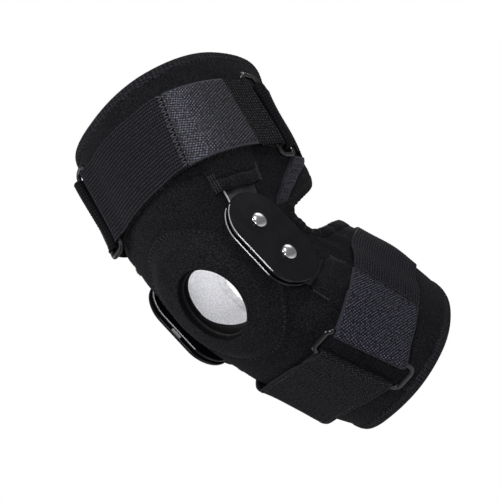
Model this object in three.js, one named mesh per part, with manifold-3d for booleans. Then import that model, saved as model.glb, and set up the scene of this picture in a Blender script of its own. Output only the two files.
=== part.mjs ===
// Hinged knee brace, held in the shape it has on a flexed leg.
// Millimetres. The origin lies midway between the two hinges, +Z runs up the hinge plates to the thigh,
// -Y is the front of the knee and +X its outer (lateral) side.
import * as THREE from "three";
import { mergeVertices } from "three/addons/utils/BufferGeometryUtils.js";
import Module from "manifold-3d";

const wasm = await Module();
wasm.setup();

// The hollow for the leg. Sections stand square to a centre line that bends at the knee.
const legSections = [
  { along: -150, halfWidth: 53, halfDepth: 53, square: 2.2 },
  { along: -120, halfWidth: 58.5, halfDepth: 59, square: 2.2 },
  { along: -88, halfWidth: 57.5, halfDepth: 60.5, square: 2.3 },
  { along: -56, halfWidth: 56.5, halfDepth: 62, square: 2.4 },
  { along: -36, halfWidth: 51, halfDepth: 62.5, square: 2.6 },
  { along: 0, halfWidth: 46, halfDepth: 61, square: 3.0 },
  { along: 36, halfWidth: 52, halfDepth: 67, square: 2.6 },
  { along: 56, halfWidth: 60, halfDepth: 70, square: 2.4 },
  { along: 86, halfWidth: 66.5, halfDepth: 72.5, square: 2.3 },
  { along: 116, halfWidth: 72.5, halfDepth: 75, square: 2.2 },
  { along: 150, halfWidth: 72, halfDepth: 75, square: 2.2 },
];
const centreBehindHinge = 36; // the leg's centre line at the knee, behind the hinge axes
const flexLean = { thigh: 23, calf: 24.6 }; // degrees that each leans back
const flexReach = 32; // how softly the centre line bends

// Rims of the sleeve by angle from the front, the same on both sides
const topRim = [
  { angle: 0, along: 135 },
  { angle: 45, along: 137 },
  { angle: 80, along: 140 },
  { angle: 110, along: 136 },
  { angle: 145, along: 130 },
  { angle: 180, along: 127 },
];
const bottomRim = [
  { angle: 0, along: -133.5 },
  { angle: 45, along: -137 },
  { angle: 80, along: -138.5 },
  { angle: 110, along: -135.5 },
  { angle: 145, along: -130 },
  { angle: 180, along: -128 },
];

// Layers outward from the leg
const gap = 0.5;
const neoprene = 4;
const onSleeve = neoprene + gap;
const webbing = 1.6;
const tabThickness = 1.8;
const binding = { width: 8, inside: -0.7, outside: neoprene + 0.9 };

// Patella hole and its pad, drawn on the front
const hole = { halfWidth: 24.5, halfHeight: 28, up: -4.7 };
const pad = { halfWidth: 41.5, halfHeight: 56.5, up: -2, rise: 5.5, hem: 1.6 };

// Opening behind the knee, drawn from the side
const opening = { front: 47, back: 125, mid: -2.5, half: 14, flare: 6, corner: 11, edge: 7 };

const hinge = {
  out: 58.6, // outer face of the outer plate
  turn: 5, // degrees that the plates face forward
  length: 80,
  width: 50,
  plate: 2.5,
  backPlate: 2,
  slot: 2.7, // room for the arms between the plates
  bevel: 0.7,
  pivot: 15.6, // rivets above and below the middle
  rivet: 3,
  head: 6,
  dome: 2.6,
};
const arm = { width: 34, tipWidth: 24, thickness: 1.8, hub: 15.2, lean: 22 };
const stop = { length: 9, depth: 7, inset: 1.5 };

const pocket = { from: 42, to: 82, wall: 1.1, lift: 2.8, welt: 1.4 };
const pocketRuns = {
  upper: { mouth: 37, end: 113, sign: 1 },
  lower: { mouth: -34, end: -112, sign: -1 },
};

const strapWidth = 57;
const loop = { bar: 2, halfDepth: 11, overhang: 5, corner: 4.5, off: neoprene + 4.6 };
const wrapRadius = loop.bar + 0.6 + webbing / 2;
const sewnEnd = 18; // length of webbing folded back at a bar

// Middle line of each strap round the leg
const upperCourse = [
  { angle: -180, along: 84 },
  { angle: -90, along: 86 },
  { angle: 60, along: 86 },
  { angle: 100, along: 84 },
  { angle: 180, along: 84 },
  { angle: 360, along: 86 },
];
const lowerCourse = [
  { angle: -80, along: -80 },
  { angle: -10, along: -81.5 },
  { angle: 12, along: -85.5 },
  { angle: 30, along: -88 },
  { angle: 58, along: -81.5 },
  { angle: 79, along: -77.5 },
  { angle: 108, along: -71.5 },
  { angle: 140, along: -79.5 },
  { angle: 180, along: -84.5 },
  { angle: 284, along: -80 },
];
// Where the straps turn and end, in degrees round the leg
const turns = {
  upperLateralLoop: 106,
  upperMedialLoop: -30,
  upperTab: 41,
  upperTabEnd: 79,
  lowerLoop: 28,
  lowerTab: 78,
  lowerTabEnd: 60,
  lowerJoin: -78,
};

const rad = THREE.MathUtils.degToRad;
const deg = THREE.MathUtils.radToDeg;
const lerp = THREE.MathUtils.lerp;
const smooth = THREE.MathUtils.smoothstep;

// A smooth curve through one column of a table
function column(rows, key, value, at) {
  const last = rows.length - 1;
  const x = THREE.MathUtils.clamp(at, rows[0][key], rows[last][key]);
  let i = 0;
  while (i < last - 1 && x > rows[i + 1][key]) i++;
  const slope = (k) => {
    const lo = rows[Math.max(k - 1, 0)];
    const hi = rows[Math.min(k + 1, last)];
    return (hi[value] - lo[value]) / (hi[key] - lo[key]);
  };
  const step = rows[i + 1][key] - rows[i][key];
  const t = (x - rows[i][key]) / step;
  return (
    (2 * t ** 3 - 3 * t ** 2 + 1) * rows[i][value] +
    (t ** 3 - 2 * t ** 2 + t) * step * slope(i) +
    (3 * t ** 2 - 2 * t ** 3) * rows[i + 1][value] +
    (t ** 3 - t ** 2) * step * slope(i + 1)
  );
}

function leanAt(along) {
  const lean = along > 0 ? flexLean.thigh : flexLean.calf;
  return (rad(lean) * along) / Math.hypot(along, flexReach);
}

function centreAt(along) {
  const steps = 24;
  let y = centreBehindHinge;
  let z = 0;
  for (let i = 0; i < steps; i++) {
    const lean = leanAt((along * (i + 0.5)) / steps);
    y += (Math.sin(lean) * along) / steps;
    z += (Math.cos(lean) * along) / steps;
  }
  return { y, z };
}

// A point on the leg: along its centre line, degrees round from the front, and out from the skin
function legPoint(along, angle, out) {
  const width = column(legSections, "along", "halfWidth", along) + out;
  const depth = column(legSections, "along", "halfDepth", along) + out;
  const square = column(legSections, "along", "square", along);
  const s = Math.sin(rad(angle));
  const c = Math.cos(rad(angle));
  const radius =
    (Math.abs(s / width) ** square + Math.abs(c / depth) ** square) ** (-1 / square);
  const lean = leanAt(along);
  const centre = centreAt(along);
  return new THREE.Vector3(
    radius * s,
    centre.y - radius * c * Math.cos(lean),
    centre.z + radius * c * Math.sin(lean),
  );
}

// The point of the leg's front that lies at x and z when seen from the front
function frontPoint(x, z, out) {
  let along = z * 0.6;
  let angle = x;
  let p;
  for (let i = 0; i < 30; i++) {
    p = legPoint(along, angle, out);
    along += (z - p.z) * 0.5;
    angle += deg((x - p.x) / 75);
  }
  return p;
}

const rimAt = (table, angle) => {
  const turned = Math.abs(((angle + 540) % 360) - 180);
  return column(table, "angle", "along", turned);
};

function geometryOf(points, faces) {
  const g = new THREE.BufferGeometry();
  g.setAttribute("position", new THREE.BufferAttribute(new Float32Array(points), 3));
  let volume = 0;
  const at = (i) => new THREE.Vector3().fromArray(points, i * 3);
  for (let i = 0; i < faces.length; i += 3)
    volume += at(faces[i]).dot(at(faces[i + 1]).cross(at(faces[i + 2])));
  if (volume < 0)
    for (let i = 0; i < faces.length; i += 3)
      [faces[i + 1], faces[i + 2]] = [faces[i + 2], faces[i + 1]];
  g.setIndex(faces);
  return g;
}

// A closed wall. pointAt(u, v, side) gives its inner (0) and outer (1) face, and a loop joins v 1 to v 0.
function wall(across, around, pointAt, isLoop) {
  const points = [];
  const faces = [];
  const columns = isLoop ? around : around + 1;
  const index = (i, j, side) => (side * (across + 1) + i) * columns + (j % columns);
  for (let side = 0; side < 2; side++)
    for (let i = 0; i <= across; i++)
      for (let j = 0; j < columns; j++)
        points.push(...pointAt(i / across, j / around, side).toArray());
  const quad = (a, b, c, d) => faces.push(a, b, c, a, c, d);
  for (let j = 0; j < around; j++) {
    for (let i = 0; i < across; i++) {
      quad(index(i, j, 1), index(i, j + 1, 1), index(i + 1, j + 1, 1), index(i + 1, j, 1));
      quad(index(i, j, 0), index(i + 1, j, 0), index(i + 1, j + 1, 0), index(i, j + 1, 0));
    }
    quad(index(0, j, 0), index(0, j + 1, 0), index(0, j + 1, 1), index(0, j, 1));
    quad(
      index(across, j, 1),
      index(across, j + 1, 1),
      index(across, j + 1, 0),
      index(across, j, 0),
    );
  }
  if (!isLoop)
    for (let i = 0; i < across; i++) {
      quad(index(i, 0, 1), index(i + 1, 0, 1), index(i + 1, 0, 0), index(i, 0, 0));
      quad(
        index(i, around, 0),
        index(i + 1, around, 0),
        index(i + 1, around, 1),
        index(i, around, 1),
      );
    }
  return geometryOf(points, faces);
}

// A closed body through rings of points, ended by a fan at each end or joined into a ring
function loft(rings, isLoop) {
  const points = rings.flat().flatMap((p) => p.toArray());
  const sides = rings[0].length;
  const faces = [];
  const count = isLoop ? rings.length : rings.length - 1;
  for (let i = 0; i < count; i++)
    for (let j = 0; j < sides; j++) {
      const next = ((i + 1) % rings.length) * sides;
      const k = (j + 1) % sides;
      faces.push(i * sides + j, i * sides + k, next + k);
      faces.push(i * sides + j, next + k, next + j);
    }
  if (!isLoop)
    for (let j = 1; j < sides - 1; j++) {
      faces.push(0, j + 1, j);
      const end = (rings.length - 1) * sides;
      faces.push(end, end + j, end + j + 1);
    }
  return geometryOf(points, faces);
}

function solid(geometry) {
  const bare = geometry.clone();
  bare.deleteAttribute("normal");
  bare.deleteAttribute("uv");
  const merged = mergeVertices(bare, 1e-4);
  return new wasm.Manifold(
    new wasm.Mesh({
      numProp: 3,
      vertProperties: new Float32Array(merged.attributes.position.array),
      triVerts: new Uint32Array(merged.index.array),
    }),
  );
}

function fromSolid(made) {
  const mesh = made.getMesh();
  const g = new THREE.BufferGeometry();
  g.setAttribute("position", new THREE.BufferAttribute(new Float32Array(mesh.vertProperties), 3));
  g.setIndex(new THREE.BufferAttribute(new Uint32Array(mesh.triVerts), 1));
  return g;
}

const materials = {
  neoprene: { color: 0x1a1a1c, roughness: 0.95, metalness: 0 },
  padCloth: { color: 0x1e1e20, roughness: 0.92, metalness: 0 },
  bindingTape: { color: 0x2d2d32, roughness: 0.85, metalness: 0 },
  webbing: { color: 0x28282d, roughness: 0.85, metalness: 0 },
  hookTab: { color: 0x46444b, roughness: 0.6, metalness: 0 },
  plate: { color: 0x1c1c1e, roughness: 0.35, metalness: 0 },
  arm: { color: 0x232325, roughness: 0.4, metalness: 0.4 },
  stop: { color: 0xb8b8ba, roughness: 0.4, metalness: 0.2 },
  steel: { color: 0xd8d8da, roughness: 0.2, metalness: 1 },
  loop: { color: 0x1a1a1c, roughness: 0.3, metalness: 0 },
};

function mesh(name, geometry, finish) {
  const made = new THREE.Mesh(geometry, new THREE.MeshStandardMaterial(materials[finish]));
  made.name = name;
  return made;
}

const brace = new THREE.Group();
brace.name = "hinged_knee_brace";

// An ellipse swept along Y, for the hole through the front
function frontPrism(halfWidth, halfHeight, up) {
  const shape = new THREE.Shape();
  shape.absellipse(0, 0, halfWidth, halfHeight, 0, 2 * Math.PI);
  const depth = 90;
  const g = new THREE.ExtrudeGeometry(shape, { depth, bevelEnabled: false, curveSegments: 18 });
  g.rotateX(Math.PI / 2);
  g.translate(0, 10, up);
  return solid(g);
}

// The opening behind the knee, swept along X
function openingPrism(grow) {
  const front = opening.front - grow;
  const half = opening.half + grow;
  const low = opening.mid - half;
  const high = opening.mid + half;
  const corner = opening.corner + grow * 0.6;
  const shape = new THREE.Shape();
  shape.moveTo(opening.back, low - opening.flare);
  shape.lineTo(front + corner, low);
  shape.quadraticCurveTo(front, low, front, low + corner);
  shape.lineTo(front, high - corner);
  shape.quadraticCurveTo(front, high, front + corner, high);
  shape.lineTo(opening.back, high + opening.flare);
  shape.closePath();
  const depth = 200;
  const g = new THREE.ExtrudeGeometry(shape, { depth, bevelEnabled: false, curveSegments: 4 });
  // shape X runs to the back (+Y), shape Y runs up (+Z), the sweep runs across (+X)
  g.applyMatrix4(
    new THREE.Matrix4().makeBasis(
      new THREE.Vector3(0, 1, 0),
      new THREE.Vector3(0, 0, 1),
      new THREE.Vector3(1, 0, 0),
    ),
  );
  g.translate(-depth / 2, 0, 0);
  return solid(g);
}

function sleeveBody() {
  const trim = binding.width + gap;
  const shell = wall(
    15,
    36,
    (u, v, side) => {
      const angle = v * 360;
      const low = rimAt(bottomRim, angle) + trim;
      const high = rimAt(topRim, angle) - trim;
      return legPoint(lerp(low, high, u), angle, side * neoprene);
    },
    true,
  );
  const cut = solid(shell)
    .subtract(frontPrism(hole.halfWidth - 1.5, hole.halfHeight - 1.5, hole.up))
    .subtract(openingPrism(opening.edge + gap));
  return fromSolid(cut);
}

function rimBinding(table, sign) {
  return wall(
    2,
    36,
    (u, v, side) => {
      const angle = v * 360;
      const rolled = 0.8 * (1 - Math.sin(Math.PI * u));
      const out = side ? binding.outside - rolled : binding.inside + rolled;
      return legPoint(rimAt(table, angle) - sign * binding.width * (1 - u), angle, out);
    },
    true,
  );
}

function poplitealBinding() {
  const reach = 62;
  const shell = wall(
    5,
    30,
    (u, v, side) =>
      legPoint(lerp(-reach, reach, u), v * 360, side ? binding.outside : binding.inside),
    true,
  );
  return fromSolid(
    solid(shell).intersect(openingPrism(opening.edge)).subtract(openingPrism(0)),
  );
}

// The bound edge of the wrap beside the lateral hinge, from the opening up under the strap
function wrapEdge() {
  const course = [
    { along: 22, angle: 99 },
    { along: 34, angle: 105 },
    { along: 48, angle: 109.5 },
  ];
  const halfSpread = 3.4;
  return wall(
    2,
    8,
    (u, v, side) => {
      const along = lerp(course[0].along, course[2].along, v);
      const angle = column(course, "along", "angle", along) + lerp(-halfSpread, halfSpread, u);
      const swell = Math.sin(Math.PI * u);
      return legPoint(along, angle, onSleeve + 0.3 + side * (0.7 + 1.5 * swell));
    },
    false,
  );
}

// A padded ring round the patella hole, sewn down along its outer edge
function patellaPad() {
  return wall(
    3,
    36,
    (u, v, side) => {
      const turn = 2 * Math.PI * v;
      const x = lerp(hole.halfWidth, pad.halfWidth, u) * Math.cos(turn);
      const z = lerp(hole.up, pad.up, u) + lerp(hole.halfHeight, pad.halfHeight, u) * Math.sin(turn);
      const swell = lerp(pad.hem, pad.rise, 1 - smooth(u, 0.72, 1));
      return frontPoint(x, z, onSleeve + side * swell);
    },
    true,
  );
}

// One hinge plate: a long rounded shape with two rivet holes
function plate(thickness) {
  const half = hinge.width / 2 - hinge.bevel;
  const straight = hinge.length / 2 - hinge.width / 2;
  const shape = new THREE.Shape();
  shape.absarc(0, straight, half, 0, Math.PI);
  shape.absarc(0, -straight, half, Math.PI, 2 * Math.PI);
  shape.closePath();
  for (const up of [hinge.pivot, -hinge.pivot]) {
    const bore = new THREE.Path();
    bore.absarc(0, up, hinge.rivet + gap + hinge.bevel, 0, 2 * Math.PI, true);
    shape.holes.push(bore);
  }
  const g = new THREE.ExtrudeGeometry(shape, {
    depth: thickness - 2 * hinge.bevel,
    bevelThickness: hinge.bevel,
    bevelSize: hinge.bevel,
    bevelSegments: 1,
    curveSegments: 5,
  });
  g.translate(0, 0, hinge.bevel);
  return g;
}

// A domed rivet through both plates, upset behind the back plate
function rivet() {
  const total = hinge.plate + hinge.slot + hinge.backPlate;
  const tail = { radius: 4.6, height: 0.8, clear: 0.3 };
  const profile = [
    new THREE.Vector2(0, -total - tail.clear - tail.height),
    new THREE.Vector2(tail.radius, -total - tail.clear - tail.height),
    new THREE.Vector2(tail.radius, -total - tail.clear),
    new THREE.Vector2(hinge.rivet, -total - tail.clear),
    new THREE.Vector2(hinge.rivet, tail.clear),
    new THREE.Vector2(hinge.head, tail.clear),
    new THREE.Vector2(hinge.head, tail.clear + 0.5),
  ];
  const arcs = 3;
  for (let i = 1; i <= arcs; i++) {
    const t = (i / arcs) * (Math.PI / 2);
    const rise = tail.clear + 0.5 + (hinge.dome - 0.5) * Math.sin(t);
    profile.push(new THREE.Vector2(hinge.head * Math.cos(t), rise));
  }
  profile[profile.length - 1].x = 0;
  const g = new THREE.LatheGeometry(profile, 9);
  g.rotateX(Math.PI / 2);
  return fromSolid(solid(g));
}

// The hinge's own frame: X to the back, Y up, Z out from the leg
const hingeFrame = new THREE.Matrix4().makeBasis(
  new THREE.Vector3(Math.sin(rad(hinge.turn)), Math.cos(rad(hinge.turn)), 0),
  new THREE.Vector3(0, 0, 1),
  new THREE.Vector3(Math.cos(rad(hinge.turn)), -Math.sin(rad(hinge.turn)), 0),
);
hingeFrame.setPosition(hinge.out, 0, 0);

// Places round an arm's section, across its width and through its thickness
const armCorners = [
  [-1, -1],
  [-0.35, -1],
  [0.35, -1],
  [1, -1],
  [1, 1],
  [0.35, 1],
  [-0.35, 1],
  [-1, 1],
];

function flatRing(station, out) {
  return armCorners.map(([a, b]) =>
    station.at
      .clone()
      .addScaledVector(station.side, a * station.half)
      .addScaledVector(out, (b * arm.thickness) / 2),
  );
}

// An arm: a flat hub on its rivet between the plates, then a strip that follows the leg into its pocket
function hingeArm(run) {
  const sign = run.sign;
  const level = -hinge.plate - hinge.slot / 2;
  const leanBack = new THREE.Vector3(Math.sin(rad(arm.lean)), sign * Math.cos(rad(arm.lean)), 0);
  const side = new THREE.Vector3(Math.cos(rad(arm.lean)), -sign * Math.sin(rad(arm.lean)), 0);
  const pivot = new THREE.Vector3(0, sign * hinge.pivot, level);
  const hingeOut = new THREE.Vector3(0, 0, 1).transformDirection(hingeFrame);
  const stations = [];
  const hubReach = 24;
  const hubStations = [-0.97, -0.8, -0.5, 0, 0.6];
  for (const t of hubStations) {
    const half = arm.hub * Math.sqrt(1 - Math.min(t, 0) ** 2);
    stations.push({
      at: pivot.clone().addScaledVector(leanBack, t * arm.hub).applyMatrix4(hingeFrame),
      side: side.clone().transformDirection(hingeFrame),
      half,
    });
  }
  stations.push({
    at: pivot.clone().addScaledVector(leanBack, hubReach).applyMatrix4(hingeFrame),
    side: side.clone().transformDirection(hingeFrame),
    half: arm.width / 2,
  });
  const rings = stations.map((s) => flatRing(s, hingeOut));
  const middle = (pocket.from + pocket.to) / 2;
  const inPocket = onSleeve + 0.2 + arm.thickness / 2;
  const steps = 5;
  for (let i = 0; i <= steps; i++) {
    const along = lerp(run.mouth - sign, run.end - sign * 9, i / steps);
    const half = lerp(arm.width, arm.tipWidth, i / steps) / 2;
    const radius = Math.hypot(legPoint(along, middle, inPocket).x, 25);
    rings.push(
      armCorners.map(([a, b]) =>
        legPoint(along, middle + deg((a * half) / radius), inPocket + (b * arm.thickness) / 2),
      ),
    );
  }
  const bore = new THREE.CylinderGeometry(hinge.rivet + gap, hinge.rivet + gap, 20, 10);
  bore.rotateX(Math.PI / 2);
  bore.translate(pivot.x, pivot.y, pivot.z);
  bore.applyMatrix4(hingeFrame);
  return fromSolid(solid(loft(rings, false)).subtract(solid(bore)));
}

// The extension stop between the plates at their front edge
function hingeStop() {
  const g = new THREE.BoxGeometry(stop.depth, stop.length, hinge.slot - 0.6);
  g.translate(
    -hinge.width / 2 + stop.inset + stop.depth / 2,
    0,
    -hinge.plate - hinge.slot / 2,
  );
  return g;
}

// A cloth pocket over an arm: sewn down at both sides and at its far end, open at the mouth with a welt
function armPocket(run) {
  const gathered = 0.1;
  return wall(
    7,
    8,
    (u, v, side) => {
      const angle = lerp(pocket.from, pocket.to, v);
      const along = lerp(run.mouth, run.end, u);
      const beside = smooth(v, 0, gathered) * smooth(1 - v, 0, gathered);
      const lift = pocket.lift * beside * smooth(1 - u, 0, gathered);
      const lip = pocket.welt * (1 - smooth(u, 0.05, 0.14)) * beside;
      return legPoint(along, angle, onSleeve + lift + side * (pocket.wall + lip));
    },
    false,
  );
}

// Extra height of a strap where it rides over a pocket, by angle from the front
function overPocket(angle) {
  const turned = Math.abs(((angle + 540) % 360) - 180);
  const rise = pocket.lift + pocket.wall + gap + 0.3;
  const ramp = 14;
  const ease = 4;
  const rising = smooth(turned, pocket.from - ramp - ease, pocket.from - ease);
  const falling = smooth(-turned, -pocket.to - ramp - ease, -pocket.to - ease);
  return rise * rising * falling;
}

// Webbing along a path of { angle, out } round the leg
function ribbon(path, thickness, course, radius, across = 2) {
  const flat = path.map((p) => new THREE.Vector2(rad(p.angle) * radius, p.out));
  const faces = flat.map((p, i) => {
    const before = flat[Math.max(i - 1, 0)];
    const after = flat[Math.min(i + 1, flat.length - 1)];
    const run = after.clone().sub(before).normalize();
    const normal = new THREE.Vector2(-run.y, run.x).multiplyScalar(thickness / 2);
    return [p.clone().sub(normal), p.clone().add(normal)];
  });
  return wall(
    across,
    path.length - 1,
    (u, v, side) => {
      const i = Math.round(v * (path.length - 1));
      const p = faces[i][side];
      const along = column(course, "angle", "along", path[i].angle) + (u - 0.5) * strapWidth;
      return legPoint(along, deg(p.x / radius), p.y);
    },
    false,
  );
}

const thighRadius = 82;
const calfRadius = 70;
const resting = onSleeve + webbing / 2;
const onTop = resting + webbing + gap;

// Points of a straight run at a rest height, over the pockets
function runPath(from, to, height, step = 7) {
  const count = Math.max(1, Math.round(Math.abs(to - from) / step));
  const path = [];
  for (let i = 0; i <= count; i++) {
    const angle = lerp(from, to, i / count);
    path.push({ angle, out: height + overPocket(angle) });
  }
  return path;
}

// A turn round a bar. heading is 1 where the webbing leaves the bar towards larger angles on top.
function turnPath(barAngle, heading, radius) {
  const path = [];
  const lift = overPocket(barAngle);
  const steps = 6;
  for (let i = 0; i <= steps; i++) {
    const t = -Math.PI / 2 + (Math.PI * i) / steps;
    path.push({
      angle: barAngle - heading * deg((wrapRadius * Math.cos(t)) / radius),
      out: loop.off + lift + wrapRadius * Math.sin(t),
    });
  }
  return path;
}

const degreesOf = (length, radius) => deg(length / radius);
const barSpread = (radius) => degreesOf(loop.halfDepth, radius);

function strapLoop(middle, course, radius) {
  const halfLength = strapWidth / 2 + loop.overhang;
  const corners = [
    [1, 1],
    [-1, 1],
    [-1, -1],
    [1, -1],
  ];
  const centreAlong = column(course, "angle", "along", middle);
  const arcs = 3;
  const path = [];
  corners.forEach(([a, b], k) => {
    for (let i = 0; i <= arcs; i++) {
      const t = (k + i / arcs) * (Math.PI / 2);
      path.push([
        a * (halfLength - loop.corner) + loop.corner * Math.cos(t),
        b * (loop.halfDepth - loop.corner) + loop.corner * Math.sin(t),
      ]);
    }
  });
  const at = ([x, y], out) => {
    const angle = middle + degreesOf(y, radius);
    return legPoint(centreAlong + x, angle, loop.off + overPocket(angle) + out);
  };
  const sides = 6;
  const rings = path.map((p, i) => {
    const here = at(p, 0);
    const before = at(path[(i + path.length - 1) % path.length], 0);
    const after = at(path[(i + 1) % path.length], 0);
    const tangent = after.sub(before).normalize();
    const out = at(p, 1).sub(here).normalize();
    const across = new THREE.Vector3().crossVectors(tangent, out).normalize();
    const ring = [];
    for (let j = 0; j < sides; j++) {
      const t = (2 * Math.PI * j) / sides;
      ring.push(
        here
          .clone()
          .addScaledVector(across, loop.bar * Math.cos(t))
          .addScaledVector(out, loop.bar * Math.sin(t)),
      );
    }
    return ring;
  });
  return loft(rings, true);
}

// The upper strap: sewn round the lateral loop, across the front, back on itself through the medial loop
function upperStrap() {
  const spread = barSpread(thighRadius);
  const lateralBar = turns.upperLateralLoop - spread;
  const medialBar = turns.upperMedialLoop + spread;
  const tuck = degreesOf(sewnEnd, thighRadius);
  const ease = degreesOf(12, thighRadius);
  const path = [
    ...runPath(lateralBar - tuck, lateralBar - 2, resting),
    ...turnPath(lateralBar, -1, thighRadius),
    ...runPath(lateralBar - ease, lateralBar - tuck - 2, onTop),
    ...runPath(lateralBar - tuck - ease, medialBar + 2, resting),
    ...turnPath(medialBar, 1, thighRadius),
    ...runPath(medialBar + ease, turns.upperTab, onTop),
  ];
  return ribbon(path, webbing, upperCourse, thighRadius);
}

function upperTab() {
  const clear = degreesOf(gap, thighRadius);
  const lift = (tabThickness - webbing) / 2;
  return ribbon(
    runPath(turns.upperTab + clear, turns.upperTabEnd, onTop + lift, 5),
    tabThickness,
    upperCourse,
    thighRadius,
  );
}

// The upper anchor: round the back from one loop to the other, folded in at both bars
function upperAnchor() {
  const spread = barSpread(thighRadius);
  const from = turns.upperLateralLoop + spread;
  const to = 360 + turns.upperMedialLoop - spread;
  const tuck = degreesOf(sewnEnd, thighRadius);
  const ease = degreesOf(12, thighRadius);
  const path = [
    ...runPath(from + tuck, from + 2, resting),
    ...turnPath(from, 1, thighRadius),
    ...runPath(from + ease, from + tuck + 2, onTop),
    ...runPath(from + tuck + ease, to - tuck - ease, resting),
    ...runPath(to - tuck - 2, to - ease, onTop),
    ...turnPath(to, -1, thighRadius).reverse(),
    ...runPath(to - 2, to - tuck, resting),
  ];
  return ribbon(path, webbing, upperCourse, thighRadius);
}

// The lower strap: round the back from the medial seam to the tab
function lowerStrap() {
  return ribbon(
    runPath(360 + turns.lowerJoin, turns.lowerTab, resting + 0.2, 8),
    webbing,
    lowerCourse,
    calfRadius,
    4,
  );
}

// The lower tab: sewn to the strap, through the loop and back beneath itself
function lowerTab() {
  const bar = turns.lowerLoop + barSpread(calfRadius);
  const clear = degreesOf(gap, calfRadius);
  const ease = degreesOf(12, calfRadius);
  const end = turns.lowerTab - clear;
  const path = [
    ...runPath(turns.lowerTabEnd, bar + 2, resting, 6),
    ...turnPath(bar, 1, calfRadius),
    ...runPath(bar + ease, turns.lowerTabEnd + 3, onTop + 0.1, 6),
    ...runPath(turns.lowerTabEnd + 3 + ease * 0.6, end, resting, 4),
  ];
  return ribbon(path, webbing, lowerCourse, calfRadius, 3);
}

// The lower anchor: folded round the loop's other bar, then across the shin to the medial seam
function lowerAnchor() {
  const bar = turns.lowerLoop - barSpread(calfRadius);
  const tuck = degreesOf(sewnEnd, calfRadius);
  const ease = degreesOf(12, calfRadius);
  const clear = degreesOf(gap, calfRadius);
  const path = [
    ...runPath(bar - tuck, bar - 2, resting),
    ...turnPath(bar, -1, calfRadius),
    ...runPath(bar - ease, bar - tuck - 2, onTop),
    ...runPath(bar - tuck - ease, turns.lowerJoin + clear, resting),
  ];
  return ribbon(path, webbing, lowerCourse, calfRadius, 3);
}

brace.add(
  mesh("sleeve_body", sleeveBody(), "neoprene"),
  mesh("patella_pad", patellaPad(), "padCloth"),
  mesh("top_binding", rimBinding(topRim, 1), "bindingTape"),
  mesh("bottom_binding", rimBinding(bottomRim, -1), "bindingTape"),
  mesh("popliteal_binding", poplitealBinding(), "bindingTape"),
  mesh("wrap_edge", wrapEdge(), "bindingTape"),
);

// Both sides carry the same hinge and pockets, the medial ones mirrored
for (const [side, mirror] of [
  ["lateral", 1],
  ["medial", -1],
]) {
  const half = new THREE.Group();
  half.scale.x = mirror;
  const joint = new THREE.Group();
  joint.applyMatrix4(hingeFrame);
  const outerPlate = mesh(side + "_outer_plate", plate(hinge.plate), "plate");
  outerPlate.position.z = -hinge.plate;
  const innerPlate = mesh(side + "_inner_plate", plate(hinge.backPlate), "plate");
  innerPlate.position.z = -hinge.plate - hinge.slot - hinge.backPlate;
  joint.add(outerPlate, innerPlate, mesh(side + "_hinge_stop", hingeStop(), "stop"));
  for (const [level, run] of Object.entries(pocketRuns)) {
    const pin = mesh(side + "_" + level + "_rivet", rivet(), "steel");
    pin.position.y = run.sign * hinge.pivot;
    joint.add(pin);
    half.add(mesh(side + "_" + level + "_arm", hingeArm(run), "arm"));
    half.add(mesh(side + "_" + level + "_pocket", armPocket(run), "neoprene"));
  }
  half.add(joint);
  brace.add(half);
}

brace.add(
  mesh("upper_strap", upperStrap(), "webbing"),
  mesh("upper_tab", upperTab(), "hookTab"),
  mesh("upper_anchor", upperAnchor(), "webbing"),
  mesh("upper_loop_lateral", strapLoop(turns.upperLateralLoop, upperCourse, thighRadius), "loop"),
  mesh("upper_loop_medial", strapLoop(turns.upperMedialLoop, upperCourse, thighRadius), "loop"),
  mesh("lower_strap", lowerStrap(), "webbing"),
  mesh("lower_tab", lowerTab(), "hookTab"),
  mesh("lower_anchor", lowerAnchor(), "webbing"),
  mesh("lower_loop", strapLoop(turns.lowerLoop, lowerCourse, calfRadius), "loop"),
);

export default brace;
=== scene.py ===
# Hinged knee brace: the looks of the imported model, in metres in the model's own frame.
import math

import bmesh
import bpy
import numpy as np
from mathutils import Matrix, Vector


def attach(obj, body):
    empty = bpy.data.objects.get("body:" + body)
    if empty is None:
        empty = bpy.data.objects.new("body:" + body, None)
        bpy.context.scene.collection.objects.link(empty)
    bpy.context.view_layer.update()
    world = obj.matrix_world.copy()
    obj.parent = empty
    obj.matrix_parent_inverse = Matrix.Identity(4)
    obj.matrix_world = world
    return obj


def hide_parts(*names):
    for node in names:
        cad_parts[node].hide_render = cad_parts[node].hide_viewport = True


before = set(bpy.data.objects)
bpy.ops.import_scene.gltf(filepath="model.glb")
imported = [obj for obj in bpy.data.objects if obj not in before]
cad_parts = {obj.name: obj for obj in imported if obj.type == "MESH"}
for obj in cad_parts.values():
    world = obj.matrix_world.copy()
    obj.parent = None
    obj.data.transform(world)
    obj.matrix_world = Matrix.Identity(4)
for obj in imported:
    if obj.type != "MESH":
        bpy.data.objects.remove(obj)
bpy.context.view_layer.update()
print("frame:", len(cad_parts), "nodes")

mm = 0.001  # sizes below are in mm, meshes in metres


# colours and materials

def linear(hexCode):
    parts = [int(hexCode[i:i + 2], 16) / 255 for i in (0, 2, 4)]
    return tuple(c / 12.92 if c <= 0.04045 else ((c + 0.055) / 1.055) ** 2.4 for c in parts) + (1.0,)


def addNode(tree, kind, inputs=None, out=0, **settings):
    made = tree.nodes.new(kind)
    for key, value in settings.items():
        setattr(made, key, value)
    for key, value in (inputs or {}).items():
        if isinstance(value, bpy.types.NodeSocket):
            tree.links.new(value, made.inputs[key])
        else:
            made.inputs[key].default_value = value
    return made.outputs[out] if len(made.outputs) else made


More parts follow.
